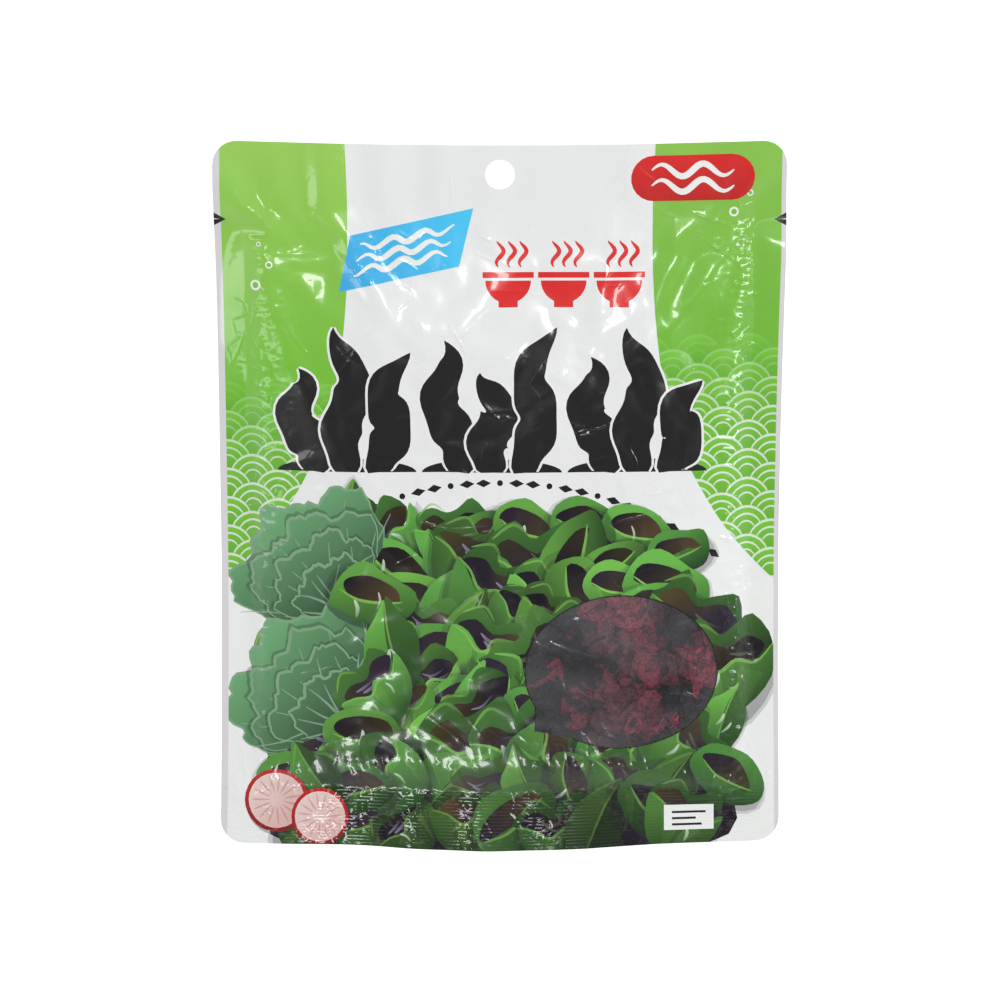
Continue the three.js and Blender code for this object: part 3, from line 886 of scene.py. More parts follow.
class DrawnLeaf:
    """Draws one wakame leaf of the picture, jittered so that no two are alike."""

    def __init__(self, look, centre, size, turn, random):
        self.centre, self.size, self.turn, self.random = centre, size, turn, random
        self.inks = []
        down_the_heap = float(np.interp(centre[1], (-85, -58), (0.58, 1.0)))
        tone = random.uniform(0.78, 1.12) * down_the_heap
        warm = blended(look.leaf_bright, LEAF_INKS["warm"], random.uniform(0.0, 0.35))
        self.bright = tinted(warm, tone)
        self.dark = tinted(look.leaf_dark, tone * random.uniform(0.8, 1.15), random, 0.015)
        self.brown = tinted(LEAF_INKS["brown"], random.uniform(0.55, 1.15), random, 0.02)
        self.gap = tinted(look.leaf_gap, random.uniform(0.5, 1.1))
        self.rim = blended(self.bright, LEAF_INKS["rim"], 0.32)
        # colour of the painted reflection streaks in the mouths
        self.sheen = SHEEN_INKS["left" if centre[0] < 0 else "right"]

    def at(self, x, y):
        return placed([(x, y)], self.centre, self.size, self.turn)[0]

    def add(self, points, near, far, start, end, cover=(1.0, 1.0), jitter=0.05, steps=3):
        points = np.array(points) + self.random.normal(0, jitter, (len(points), 2))
        outline = placed(spline(points, steps), self.centre, self.size, self.turn)
        self.inks.append(Ink(outline, near, far, self.at(*start), self.at(*end), cover))

    def line(self, points, width, rgb, cover=(1.0, 1.0)):
        path = spline(points, 4, closed=False)
        outline = placed(tapered(path, width), self.centre, self.size, self.turn)
        self.inks.append(Ink(outline, rgb, rgb, self.at(*points[0]), self.at(*points[-1]), cover))

    def shadow(self, points):
        for scale, cover in ((1.16, 0.3), (1.07, 0.4)):
            spread = np.array(points) * scale + (0.02, -0.1)
            self.add(spread, self.gap, self.gap, (0, -1), (0, 1), (cover, cover * 0.7), 0.02, 2)

    def facets(self, splits, low, high):
        """Flat folds, each a little lighter or darker than its neighbour."""
        for k, (left, right) in enumerate(zip(splits, splits[1:])):
            shade = self.dark if k % 2 else self.rim
            corners = [(0.35 * left, low), (0.35 * right, low)]
            corners += [(x, high - 0.3 * x**2) for x in (right, left)]
            corners = placed(corners, self.centre, self.size, self.turn)
            amount = self.random.uniform(0.1, 0.42)
            self.inks.append(Ink(corners, shade, shade, self.at(0, low), self.at(0, high), (0.05, amount)))

    def cup(self):
        self.shadow(CUP_FRONT)
        self.add(CUP_BACK, tinted(self.bright, 0.72), self.dark, (0, 1.0), (0.2, 0.2))
        self.line([(-0.9, 0.62), (-0.5, 0.95), (-0.12, 0.7)], 0.07, self.rim, (0.9, 0.3))
        self.add(CUP_MOUTH, self.brown, self.gap, (self.random.choice((-0.8, 0.7)), 0.5), (0.1, -0.05))
        # Two faint streaks across the mouth: painted reflection, the film's sheen on the dark ink
        start, rise = self.random.uniform(-0.6, 0.1), self.random.uniform(-0.08, 0.08)
        for drop in (0.0, 0.14):
            left = start + drop
            reflection_streak = [(left, 0.34 + rise - drop), (left + 0.25, 0.25 - drop), (left + 0.6, 0.3 + rise - drop)]
            self.line(reflection_streak, self.random.uniform(0.05, 0.1), self.sheen, (0.42, 0.04))
        lean = self.random.uniform(-0.7, 0.7)
        self.add(CUP_FRONT, self.dark, self.bright, (lean, -0.9), (-0.5 * lean, 0.2))
        self.facets(np.sort(self.random.uniform(-0.8, 0.8, 4)), -0.9, 0.0)
        self.line(CUP_RIM, 0.075, self.rim)

    def tongue(self):
        self.shadow(TONGUE)
        self.add(TONGUE, self.dark, self.bright, (0.2, -0.9), (-0.3, 0.7))
        self.add(TONGUE_HALF, tinted(self.bright, 0.6), self.dark, (0.1, 1.1), (0.5, -0.6))
        self.line([(0.03, 1.05), (-0.03, 0.35), (0.02, -0.5), (0.05, -0.9)], 0.05, self.rim, (0.9, 0.2))
        self.line([(-0.5, 0.35), (-0.2, 0.8), (0.03, 1.08)], 0.06, self.rim, (0.2, 0.9))

    def curl(self):
        self.shadow(CURL)
        self.add(CURL, self.dark, self.bright, (0.3, -0.6), (-0.2, 0.6))
        self.facets(np.sort(self.random.uniform(-0.9, 0.9, 3)), -0.5, 0.1)
        self.add(CURL_MOUTH, self.gap, self.brown, (-0.6, 0.4), (0.7, 0.0))
        self.line([(-0.8, 0.0), (-0.3, -0.13), (0.3, -0.05), (0.74, 0.08)], 0.07, self.rim)

    def gleam(self):
        """A wet highlight."""
        x, y = self.random.uniform(-0.4, 0.4), self.random.uniform(-0.6, -0.2)
        lean = self.random.uniform(-0.2, 0.2)
        path = [(x, y), (x + lean * 0.5 + 0.05, y + 0.22), (x + lean, y + 0.4)]
        self.line(path, self.random.uniform(0.05, 0.12), SHEEN_INKS["wet"], (0.2, 0.75))


def leaf_heap(look, random, row_pitch=8.2, leaf_pitch=11.5):
    """The printed heap of leaves, drawn from the back row at its top to the front row."""
    edge = [
        (-34, -9), (-14, -5), (10, -4), (32, -11), (50, -26), (56, -44), (56, -66), (50, -88), (-50, -88),
        (-56, -62), (-50, -22),
    ]
    inks = [Ink(spline(edge, 5), look.leaf_gap, tinted(look.leaf_gap, 0.6), (0, 0), (0, -80))]
    for row, v in enumerate(np.arange(-7.0, -86.0, -row_pitch)):
        half = 30 + 27 * math.sin(min(1.0, (1 - v) / 46) * math.pi / 2)
        for u in np.arange(-min(half, 49) + (row % 2) * 5, half + 1, leaf_pitch):
            place = (u + random.uniform(-3, 3), v + random.uniform(-3, 3))
            inks += any_leaf(look, place, random.uniform(8.0, 9.5 if row == 0 else 12.5), random)
    return inks


def any_leaf(look, place, size, random):
    leaf = DrawnLeaf(look, place, size, random.normal(0, 0.5) - place[0] / 80, random)
    random.choice((leaf.cup, leaf.cup, leaf.tongue, leaf.curl))()
    for _ in range(random.integers(0, 3)):
        leaf.gleam()
    return leaf.inks


def frilly_leaf(look, base, radius, start, end, random, count=54):
    """A pale leaf with a frilled rim and fanned veins, in four layers."""
    inks = []
    base = np.asarray(base, float)
    for layer, share in enumerate((1.0, 0.84, 0.66, 0.46)):
        a = np.radians(np.linspace(start, end, count))
        waves = 0.055 * np.sin(a * 9 + 2 * layer) + 0.035 * np.sin(a * 23 + 3 * layer)
        waves += random.normal(0, 0.014, count)
        ways = np.stack([np.cos(a), np.sin(a)], 1)
        round_ends = 1 - 0.35 * np.abs(np.linspace(-1, 1, count)) ** 6
        rim = base + (radius * share * (1 + waves) * round_ends)[:, None] * ways
        if layer:
            shade = np.concatenate([base + (rim - base) * 1.05, [base]])
            inks.append(Ink(shade, tinted(look.frill, 0.5), cover=(0.45, 0.45)))
        middle = base + radius * share * ways[count // 2]
        light = tinted(look.frill, 1.28 - 0.11 * layer)
        inks.append(Ink(np.concatenate([rim, [base]]), tinted(look.frill, 0.48), light, base, middle))
        inks.append(Ink(tapered(rim, 0.028 * radius), blended(look.frill, FRILL_EDGE_INK, 0.32)))
        for angle in np.radians(np.linspace(start + 6, end - 6, 7) + random.normal(0, 3, 7)):
            reach = share * radius * random.uniform(0.8, 0.95)
            tip = base + reach * np.array([math.cos(angle), math.sin(angle)])
            bend = (base + tip) / 2 + random.normal(0, 0.035 * radius, 2)
            vein = spline([base, bend, tip], 6, False)
            widths = np.linspace(0.03, 0.006, len(vein)) * radius
            pale = blended(look.frill, FRILL_EDGE_INK, 0.45)
            inks.append(Ink(stroke(vein, widths), pale, cover=(0.7, 0.7)))
    return inks


def radish_slice(look, centre, radius, turn):
    """A round slice with a red skin and fine rays."""
    x, y = centre
    skin = tinted(look.red, 0.86)
    inks = [Ink(disc((x + 0.5, y - 0.6), radius * 1.03, 26), tinted(look.leaf_gap, 0.8), cover=(0.5, 0.5))]
    inks.append(Ink(disc(centre, radius, 28), skin, tinted(skin, 0.7), (x, y + radius), (x, y - radius)))
    flesh, shade, ray_ink = RADISH_INKS.values()
    lit_side, dark_side = (x - radius, y + radius), (x + radius, y - radius)
    inks.append(Ink(disc(centre, radius * 0.88, 26), flesh, shade, lit_side, dark_side))
    for a in np.radians(np.arange(0, 360, 24)) + turn:
        ray = np.array([(math.cos(a), math.sin(a))]) * np.linspace(0.22, 0.8, 5)[:, None] * radius + centre
        inks.append(Ink(tapered(ray, 0.06 * radius), ray_ink, cover=(0.6, 0.6)))
    return inks


def small_label(look):
    """A small white box with plain bars, at the foot of the picture."""
    inks = [Ink(box_outline(41, 53.5, -83.5, -77), WHITE_INK)]
    for k, right in enumerate((51.5, 49.0, 50.5)):
        inks.append(Ink(box_outline(43, right, -79.2 - k * 1.6, -78.6 - k * 1.6), tinted(look.black, 1.4)))
    return inks


def margins(look, sheet):
    """The unprinted strips at both sides and the black tear marks on them."""
    inks = []
    for side, wide in ((-1, 1.7), (1, 1.2)):
        outer, inner = side * PANEL_EDGE, side * (sheet.half_width - wide)
        corners = [(outer, -PANEL_TOP), (outer, PANEL_TOP), (inner, PANEL_TOP), (inner, -PANEL_TOP)]
        inks.append(Ink(corners, MARGIN_INK))
        edge, v = side * (sheet.half_width + 1), NOTCH["v"]
        mark = [(edge, v - 2.1), (edge, v + 2.1), (side * (sheet.half_width - 3.0), v)]
        inks.append(Ink(mark, look.black))
    return inks


def front_print(look, sheet):
    random = np.random.default_rng(PRINT_SEED)
    inks, middle = side_panels(look)
    for panel in WAVE_PANELS:
        inks += wave_scales(look, *panel, WAVE_RADIUS)
    inks += middle + bubbles(look) + badge(look, BADGE_PLACE) + blue_flash(look)
    for place in BOWL_PLACES:
        inks += soup_bowl(look, place, BOWL_SIZE)
    for x, heights in KELP_TUFTS:
        inks += kelp((x, KELP_FOOT), heights, KELP_THICK, look.black, look.paper)
    inks += ornament_arc(look) + leaf_heap(look, random)
    for base, start, end in FRILLS:
        inks += frilly_leaf(look, base, FRILL_RADIUS, start, end, random)
    for place in NEAR_LEAVES:
        inks += any_leaf(look, place, random.uniform(8.5, 11.5), random)
    for centre, radius, turn in RADISHES:
        inks += radish_slice(look, centre, radius, turn)
    rim = np.concatenate([sheet.window_outline(), sheet.window_outline()[:2]])
    inks.append(Ink(stroke(rim, 0.5), RIM_INK))
    return inks + small_label(look) + margins(look, sheet)


def back_print(look, sheet):
    """A plain back: pale bands at head and foot, and a ruled box that is left blank."""
    inks = [Ink(box_outline(-PANEL_EDGE, PANEL_EDGE, -PANEL_TOP, PANEL_TOP), tinted(WHITE_INK, 0.97))]
    band = blended(look.pale_green, WHITE_INK, 0.6)
    for bottom, top in ((60, PANEL_TOP), (-PANEL_TOP, -66)):
        inks.append(Ink(box_outline(-PANEL_EDGE, PANEL_EDGE, bottom, top), band))
    box = np.array([(-50, -30), (50, -30), (50, 36), (-50, 36), (-50, -30)], float)
    ruled = [box] + [np.array([(-50, y), (50, y)], float) for y in np.arange(-19, 36, 11)]
    ruled.append(np.array([(-18, -30), (-18, 36)], float))
    for line in ruled:
        for start, end in zip(line, line[1:]):
            inks.append(Ink(stroke([start, end], 0.5), tinted(look.deep_green, 0.8)))
    for x in (-42, 42):
        inks += kelp((x, 41), (11, 15, 10), 3.6, look.deep_green, tinted(WHITE_INK, 0.97))
    return inks + margins(look, sheet)


# Film meshes


def stepped(outline, reach=1.3):
    """An outline with points added so that no edge is longer than reach."""
    ends = np.roll(outline, -1, 0)
    counts = np.ceil(np.linalg.norm(ends - outline, axis=1) / reach).astype(int).clip(1)
    shares = [(np.arange(count) / count)[:, None] for count in counts]
    return np.concatenate([a + (b - a) * share for a, b, share in zip(outline, ends, shares)])


def triangulated(points, edges=(), loops=(), nearest=0.005):
    """Delaunay triangles that keep every edge and loop, after their points; last, where each point went."""
    places = [Vector(p) for p in np.asarray(points, float).tolist()]
    kept = [tuple(edge) for edge in edges]
    for loop in loops:
        base = len(places)
        places += [Vector(p) for p in loop.tolist()]
        kept += [(base + k, base + (k + 1) % len(loop)) for k in range(len(loop))]
    made, _, faces, origins, _, _ = delaunay_2d_cdt(places, kept, [], 0, nearest, True)
    moved = np.zeros(len(places), int)
    for new, olds in enumerate(origins):
        moved[olds] = new
    return np.array([(p.x, p.y) for p in made]), np.array(faces), moved


def filling_points(sheet, cell):
    """Points spread over the sheet, with close rows across the ribbed seal."""
    u = np.arange(-sheet.half_width + 0.3, sheet.half_width, cell)
    rows = []
    for k, v in enumerate(np.arange(sheet.inner_bottom, sheet.half_height, cell * 0.87)):
        rows.append(np.stack([u + (k % 2) * cell / 2, np.full(len(u), v)], 1))
    quarter = sheet.rib_pitch / 4
    across = np.arange(-sheet.half_width + 0.4, sheet.half_width, 1.6)
    for v in np.arange(sheet.inner_bottom - quarter, -sheet.half_height, -quarter):
        rows.append(np.stack([across, np.full(len(across), v)], 1))
    return np.concatenate(rows)


def clear_of(points, loops, reach=0.15):
    """Which of points keep at least reach away from every loop, so that none splits a rim's edge."""
    clear = np.ones(len(points), bool)
    for loop in loops:
        for start, step in zip(loop, np.roll(loop, -1, 0) - loop):
            near = np.flatnonzero((np.abs(points - start - step / 2) < np.abs(step) / 2 + reach).all(1))
            spot = points[near] - start
            share = np.clip(spot @ step / (step @ step), 0, 1)[:, None]
            clear[near] &= np.linalg.norm(spot - share * step, axis=1) > reach
    return clear


def rim_of(faces):
    """The open edges round a patch of faces, each in its own face's order."""
    sides = np.concatenate([faces[:, [0, 1]], faces[:, [1, 2]], faces[:, [2, 0]]])
    _, first, counts = np.unique(np.sort(sides, 1), axis=0, return_index=True, return_counts=True)
    return sides[first[counts == 1]]


def rim_walls(rim, beneath):
    """Faces that join each edge of a rim to the edge beneath it."""
    walls = [np.column_stack([rim[:, ::-1], beneath[:, 0]]), np.column_stack([rim[:, 1], beneath])]
    walls = np.concatenate(walls)
    return walls[walls[:, 1] != walls[:, 2]]


def patched(triangles):
    """Closes the slivers that stay open where an ink's edge all but touches the rim."""
    after = dict(rim_of(triangles).tolist())
    patches = []
    while after:
        here, loop = next(iter(after)), []
        while here in after:
            loop.append(here)
            here = after.pop(here)
        patches += [(loop[0], loop[k + 1], loop[k]) for k in range(1, len(loop) - 1)]
    return np.concatenate([triangles, np.array(patches, int).reshape(-1, 3)])


def on_film(sheet, points, with_window):
    kept = inside(sheet.outline(), points) & ~inside(sheet.hole_outline(), points)
    return kept & ~inside(sheet.window_outline(), points) if with_window else kept


def square_of(points, side=0.45, stride=10000):
    """A number for the small square of the sheet that each point lies in."""
    return (points / side).round() @ (1, stride)


def seen_edges(sheet, inks, loops, with_window):
    """The edges of the print that show, as points and pairs of them: none that lies under an opaque ink."""
    mixing, room, none = 7919, 1 << 50, 1 << 60
    outlines = loops + [ink.outline for ink in inks]
    flat, faces, _ = triangulated(np.empty((0, 2)), loops=[stepped(outline) for outline in outlines])
    middles = flat[faces].mean(1)
    kinds = np.zeros(len(faces), np.int64)
    for number, ink in enumerate(inks, 1):
        chosen = inside(ink.outline, middles)
        kinds[chosen] = number if min(ink.cover) == 1 else (kinds[chosen] * mixing + number) % room
    kinds[~on_film(sheet, middles, with_window)] = -1
    sides = np.sort(faces[:, [0, 1, 1, 2, 2, 0]].reshape(-1, 2), 1)
    edges, owner, counts = np.unique(sides, axis=0, return_inverse=True, return_counts=True)
    owner = owner.ravel()
    owners = np.repeat(kinds, 3)
    low, high = np.full(len(edges), none), np.full(len(edges), -1)
    np.minimum.at(low, owner, owners)
    np.maximum.at(high, owner, owners)
    used, pairs = np.unique(edges[(low != high) & (counts == 2)], return_inverse=True)
    return flat[used], pairs.reshape(-1, 2)


def used_only(flat, faces):
    """Points and faces without the points that no face uses."""
    used, faces = np.unique(faces, return_inverse=True)
    return flat[used], faces.reshape(-1, 3)


def printed_face(sheet, inks, loops, spread, is_front):
    """The film's outer face on the flat sheet, cut along every edge of the print that shows."""
    drawn, edges = seen_edges(sheet, inks, loops, is_front)
    spread = spread[~np.isin(square_of(spread), square_of(drawn))]
    flat, faces, _ = triangulated(np.concatenate([drawn, spread]), edges)
    return used_only(flat, faces[on_film(sheet, flat[faces].mean(1), is_front)])


def print_on(mesh, inks, corners, lining):
    """Colours the mesh's first faces with the print, and the rest plain. Corners holds the first ones'."""
    plain, middles = linear(lining), corners.mean(1)
    skin = np.tile(plain, (len(corners), 3, 1))
    for ink in inks:
        chosen = inside(ink.outline, middles)
        skin[chosen] = ink.over(corners[chosen], skin[chosen])
    colours = np.tile(np.append(plain, 1.0), (len(mesh.loops), 1))
    colours[: skin.size // 3, :3] = skin.reshape(-1, 3)
    attribute = mesh.color_attributes.new("print", "FLOAT_COLOR", "CORNER")
    attribute.data.foreach_set("color", colours.ravel())


def film_object(name, sheet, films, inks, is_front, cell, lining):
    """A thin closed film: a printed outer face, a plain inner face of larger triangles, and a rim."""
    outer, inner = films.back_outer, films.back_inner
    loops = [sheet.outline(), sheet.hole_outline()]
    spread, coarse = filling_points(sheet, cell), filling_points(sheet, cell * 1.3)
    if is_front:
        outer, inner = films.front_outer, films.front_inner
        loops.append(sheet.window_outline())
        spread = np.concatenate([spread, films.creases.mesh_points()])
    spread, coarse = (p[on_film(sheet, p, is_front) & clear_of(p, loops)] for p in (spread, coarse))
    flat, faces = printed_face(sheet, inks, loops, spread, is_front)
    skin = faces if is_front else faces[:, ::-1]

    rim = rim_of(skin)
    rim_points, rim_edges = np.unique(rim, return_inverse=True)
    rim_edges = rim_edges.reshape(-1, 2)
    coarse = np.concatenate([flat[rim_points], coarse])
    lined, back_faces, moved = triangulated(coarse, rim_edges, nearest=1e-5)
    back_faces = back_faces[on_film(sheet, lined[back_faces].mean(1), is_front)]
    back_faces = back_faces[:, ::-1] if is_front else back_faces
    walls = rim_walls(rim, moved[rim_edges] + len(flat))

    x, y = sheet.drawn_in(*np.concatenate([flat, lined]).T)
    heights = np.concatenate([outer(*flat.T), inner(*lined.T)])
    triangles = patched(np.concatenate([skin, back_faces + len(flat), walls]))
    mesh = smooth_mesh(name, np.stack([x, y, heights], 1) * MM, triangles)
    print_on(mesh, inks, flat[skin], lining)
    facing = [face_normals(outer, flat, is_front), face_normals(inner, lined, not is_front)]
    mesh.normals_split_custom_set_from_vertices(np.concatenate(facing))
    return finished_object(name, mesh)


def face_normals(height, flat, upward, reach=0.06):
    """Normals of a film's face, read from its height function at both sides of each point."""
    u, v = flat.T
    slope_u = (height(u + reach, v) - height(u - reach, v)) / (2 * reach)
    slope_v = (height(u, v + reach) - height(u, v - reach)) / (2 * reach)
    normals = np.stack([-slope_u, -slope_v, np.ones(len(u))], 1)
    normals /= np.linalg.norm(normals, axis=1)[:, None]
    return normals if upward else -normals


def clear_film_mesh(sheet, films, drop=0.03, margin=1.06, cell=0.7):
    """The clear film just behind the window opening, and a little wider than it."""
    outline = sheet.window_outline(margin)
    reach = np.arange(-30.0, 30.0, cell)
    spread = np.stack(np.meshgrid(WINDOW_CENTRE[0] + reach, WINDOW_CENTRE[1] + reach), 2).reshape(-1, 2)
    spread = np.concatenate([spread, films.creases.mesh_points()])
    flat, faces, _ = triangulated(spread[inside(outline, spread)], loops=[outline])
    flat, faces = used_only(flat, faces[inside(outline, flat[faces].mean(1))])
    x, y = sheet.drawn_in(*flat.T)
    top = films.front_inner(*flat.T) - drop
    rim, below = rim_of(faces), len(flat)
    triangles = np.concatenate([faces, faces[:, ::-1] + below, rim_walls(rim, rim + below)])
    points = np.concatenate([np.stack([x, y, top], 1), np.stack([x, y, top - sheet.thickness], 1)])
    mesh = smooth_mesh("clear_window", points * MM, triangles)
    normals = face_normals(films.front_inner, flat, True)
    mesh.normals_split_custom_set_from_vertices(np.concatenate([normals, -normals]))
    return mesh


# The dried filling


def pressed(x, low, high, room):
    """Keeps x between two limits, bending it over softly within room of them."""
    x = np.where(x > high - room, high - room * np.exp(-np.clip(x - high + room, 0, None) / room), x)
    return np.where(x < low + room, low + room * np.exp(-np.clip(low + room - x, 0, None) / room), x)


def settled(sheet, films, points, clear=0.1, give=1.2, from_seals=1.5, soft=2.0, passes=4):
    """Points in millimetres, pressed softly into the room between the films and off the seals."""
    x, y, z = points.T
    u, v = x.copy(), y - sheet.lift_v
    for _ in range(passes):
        there_u, there_v = sheet.drawn_in(u, v)
        u, v = u + x - there_u, v + y - there_v
    side = sheet.inner_half_width - from_seals
    u = pressed(u, -side, side, soft)
    v = pressed(v, sheet.inner_bottom + from_seals, sheet.inner_top, soft)
    x, y = sheet.drawn_in(u, v)
    low, high = films.back_inner(u, v) + clear, films.front_inner(u, v) - clear
    room = np.maximum(np.minimum(give, (high - low) / 2), 0.01)
    return np.stack([x, y, pressed(z, low, high, room)], 1)


def flake_mesh(name, random, spokes=9, half_thick=0.02):
    """A closed, crumpled flake one unit long, which the heap repeats."""
    angles = np.linspace(0, 2 * math.pi, spokes, endpoint=False) + random.uniform(-0.2, 0.2, spokes)
    reach = random.uniform(0.62, 1.0, spokes)
    slender = random.uniform(0.38, 0.72)
    rim = np.stack([np.cos(angles) * reach, np.sin(angles) * reach * slender], 1) / 2
    flat = np.concatenate([[(0, 0)], rim * 0.55, rim])
    curl, twist, phase = random.uniform(0.5, 1.4), random.uniform(-0.5, 0.5), random.uniform(0, 6)
    x, y = flat.T
    z = curl * y * y + twist * x * y + 0.05 * np.sin(9 * x + phase) + 0.04 * np.cos(13 * y + 2 * phase)
    z += random.normal(0, 0.018, len(z))
    top = np.column_stack([flat, z + half_thick])
    bottom = np.column_stack([flat, z - half_thick])
    inner = 1 + np.arange(spokes)
    outer = inner + spokes
    inner_next, outer_next = np.roll(inner, -1), np.roll(outer, -1)
    faces = [np.column_stack([np.zeros(spokes, int), inner, inner_next])]
    faces += [np.column_stack([inner, outer, outer_next]), np.column_stack([inner, outer_next, inner_next])]
    upper = np.concatenate(faces)
    low = len(flat)
    walls = [np.column_stack([outer, outer + low, outer_next + low])]
    walls.append(np.column_stack([outer, outer_next + low, outer_next]))
    closed = np.concatenate([upper, upper[:, ::-1] + low, *walls])
    return smooth_mesh(name, np.concatenate([top, bottom]), closed)


def refined(solid, name):
    """A solid's mesh, merged and with its faces split finer and rounded."""
    shape = bmesh.new()
    shape.from_mesh(solid)
    bmesh.ops.remove_doubles(shape, verts=shape.verts, dist=1e-6)
    bmesh.ops.subdivide_edges(shape, edges=shape.edges, cuts=2, use_grid_fill=True, smooth=0.6)
    bmesh.ops.triangulate(shape, faces=shape.faces)
    mesh = bpy.data.meshes.new(name)
    shape.to_mesh(mesh)
    shape.free()
    return mesh


def flake_scatter_tree():
    """Geometry Nodes that lay flakes over a mesh, each turned, tipped and sized at random."""
    tree = bpy.data.node_groups.new("flake_scatter", "GeometryNodeTree")
    kinds = {"Layers": "Geometry", "Flakes": "Collection", "Density": "Float", "Size": "Float", "Seed": "Int"}
    for label, kind in (*kinds.items(), ("Material", "Material")):
        tree.interface.new_socket(label, in_out="INPUT", socket_type="NodeSocket" + kind)
    tree.interface.new_socket("Heap", in_out="OUTPUT", socket_type="NodeSocketGeometry")
    given, result = tree.nodes.new("NodeGroupInput").outputs, tree.nodes.new("NodeGroupOutput")

    def drawn(kind, limits):
        return put(tree, "FunctionNodeRandomValue", {**limits, "Seed": given["Seed"]}, data_type=kind).outputs

    spread = {"Mesh": given["Layers"], "Density": given["Density"], "Seed": given["Seed"]}
    spots = put(tree, "GeometryNodeDistributePointsOnFaces", spread)
    each = {"Collection": given["Flakes"], "Separate Children": True, "Reset Children": True}
    flakes = put(tree, "GeometryNodeCollectionInfo", each)
    turn = drawn("FLOAT_VECTOR", {0: (-0.45, -0.45, -math.pi), 1: (0.45, 0.45, math.pi)})[0]
    scale = maths(tree, "MULTIPLY", drawn("FLOAT", {2: 0.62, 3: 1.3})[1], given["Size"])
    where = {"Points": spots.outputs["Points"], "Instance": flakes.outputs[0], "Pick Instance": True}
    laid = put(tree, "GeometryNodeInstanceOnPoints", {**where, "Rotation": turn, "Scale": scale})
    tone = {"Geometry": laid.outputs[0], "Name": "draw", "Value": drawn("FLOAT", {2: 0.0, 3: 1.0})[1]}
    toned = put(tree, "GeometryNodeStoreNamedAttribute", tone, data_type="FLOAT", domain="INSTANCE")
    joined = put(tree, "GeometryNodeRealizeInstances", {"Geometry": toned.outputs[0]})
    coat = {"Geometry": joined.outputs[0], "Material": given["Material"]}
    tree.links.new(put(tree, "GeometryNodeSetMaterial", coat).outputs[0], result.inputs[0])
    return tree


# Layers for flakes to lie on: the share of the way up between the films, and how much of it is covered
FLAKE_LAYERS = ((0.93, 1.0), (0.72, 0.6), (0.45, 0.5), (0.2, 0.5))
LAYER_CELL, LEAST_ROOM, WINDOW_REACH = 3.0, 3.0, 34


def scatter_layers(sheet, films):
    """Layers between the films for the flakes to lie on, as one mesh, in metres."""
    points, faces = [], []
    for share, covered in FLAKE_LAYERS:
        u, v = np.meshgrid(np.arange(-54.0, 54.1, LAYER_CELL), np.arange(-68.0, 48.1, LAYER_CELL))
        full = films.front_inner(u, v) - films.back_inner(u, v)
        x, y = sheet.drawn_in(u, v)
        z = films.back_inner(u, v) + share * full
        grid = np.arange(u.size).reshape(u.shape) + sum(len(p) for p in points)
        near = np.hypot(u - WINDOW_CENTRE[0], v - WINDOW_CENTRE[1]) < WINDOW_REACH
        chosen = (full > LEAST_ROOM) & (near | (share > 0.9) | ((u * 7 + v * 3) % 2 < 2 * covered))
        faces.append(grid_quads(grid)[chosen[:-1, :-1] & chosen[1:, 1:]])
        points.append(np.stack([x, y, z], 2).reshape(-1, 3) * MM)
    mesh = bpy.data.meshes.new("scatter_layers")
    mesh.from_pydata(np.concatenate(points), [], np.concatenate(faces).tolist())
    return mesh


def maroon_share(u, v):
    """Where reddish flakes lie under the window: a band down its middle and patches at its edges."""
    middle = np.interp(v, (-62, -58, -50, -45, -35, -25), (33, 33.5, 34, 32, 30, 25))
    half = np.interp(v, (-62, -55, -48, -38, -30, -22), (2.5, 3.5, 6.0, 9.0, 9.5, 8.0))
    band = smoothstep(1.25, 0.75, np.abs(u - middle) / half)
    right = smoothstep(9, 4, np.hypot(u - 52, (v + 41) * 0.7))
    foot = smoothstep(8, 3, np.hypot(u - 24, (v + 61) * 1.6))
    return np.maximum(np.maximum(band, right), foot)


def flake_redness(sheet, points, draws, least=0.25, spread=0.4, contrast=2.5, mixing=7.31):
    """How red each point's flake is: the maroon share where it lies, set against a draw of its own."""
    share = maroon_share(points[:, 0], points[:, 1] - sheet.lift_v)
    owners = np.unique(draws, return_inverse=True)[1]
    share = np.bincount(owners, share) / np.bincount(owners)
    return np.clip(0.5 + contrast * (share[owners] - least - spread * ((draws * mixing) % 1)), 0, 1)


def scattered_flakes(context, layers, look, random, kind_count=10):
    """The flakes that Geometry Nodes lay on the layers, as one plain mesh. Uses the layers up."""
    kinds = bpy.data.collections.new("flake_kinds")
    for k in range(kind_count):
        kinds.objects.link(bpy.data.objects.new(f"flake_kind_{k}", flake_mesh(f"flake_kind_{k}", random)))
    modifier = layers.modifiers.new("flakes", "NODES")
    modifier.node_group = flake_scatter_tree()
    inputs = {item.name: item.identifier for item in modifier.node_group.interface.items_tree}
    modifier[inputs["Flakes"]] = kinds
    modifier[inputs["Density"]] = look.flake_count / sum(face.area for face in layers.data.polygons)
    modifier[inputs["Size"]] = look.flake_size
    modifier[inputs["Seed"]] = look.seed
    modifier[inputs["Material"]] = heap_material(look)
    built = layers.evaluated_get(context.evaluated_depsgraph_get())
    mesh = bpy.data.meshes.new_from_object(built)
    mesh.name = "dried_wakame_heap"
    layers.modifiers.clear()
    for spare in (layers, *kinds.objects):
        bpy.data.objects.remove(spare)
    bpy.data.collections.remove(kinds)
    return mesh


# Materials

CRINKLE_SCALE = 170.0
LEAF_GRAIN_SCALE = 900.0


def group_tree(name, inputs, outputs):
    """A new shader node group with float inputs and outputs, and its two end nodes."""
    tree = bpy.data.node_groups.new(name, "ShaderNodeTree")
    for label, value in inputs.items():
        tree.interface.new_socket(label, in_out="INPUT", socket_type="NodeSocketFloat").default_value = value
    for label in outputs:
        tree.interface.new_socket(label, in_out="OUTPUT", socket_type="NodeSocketFloat")
    return tree, tree.nodes.new("NodeGroupInput"), tree.nodes.new("NodeGroupOutput")


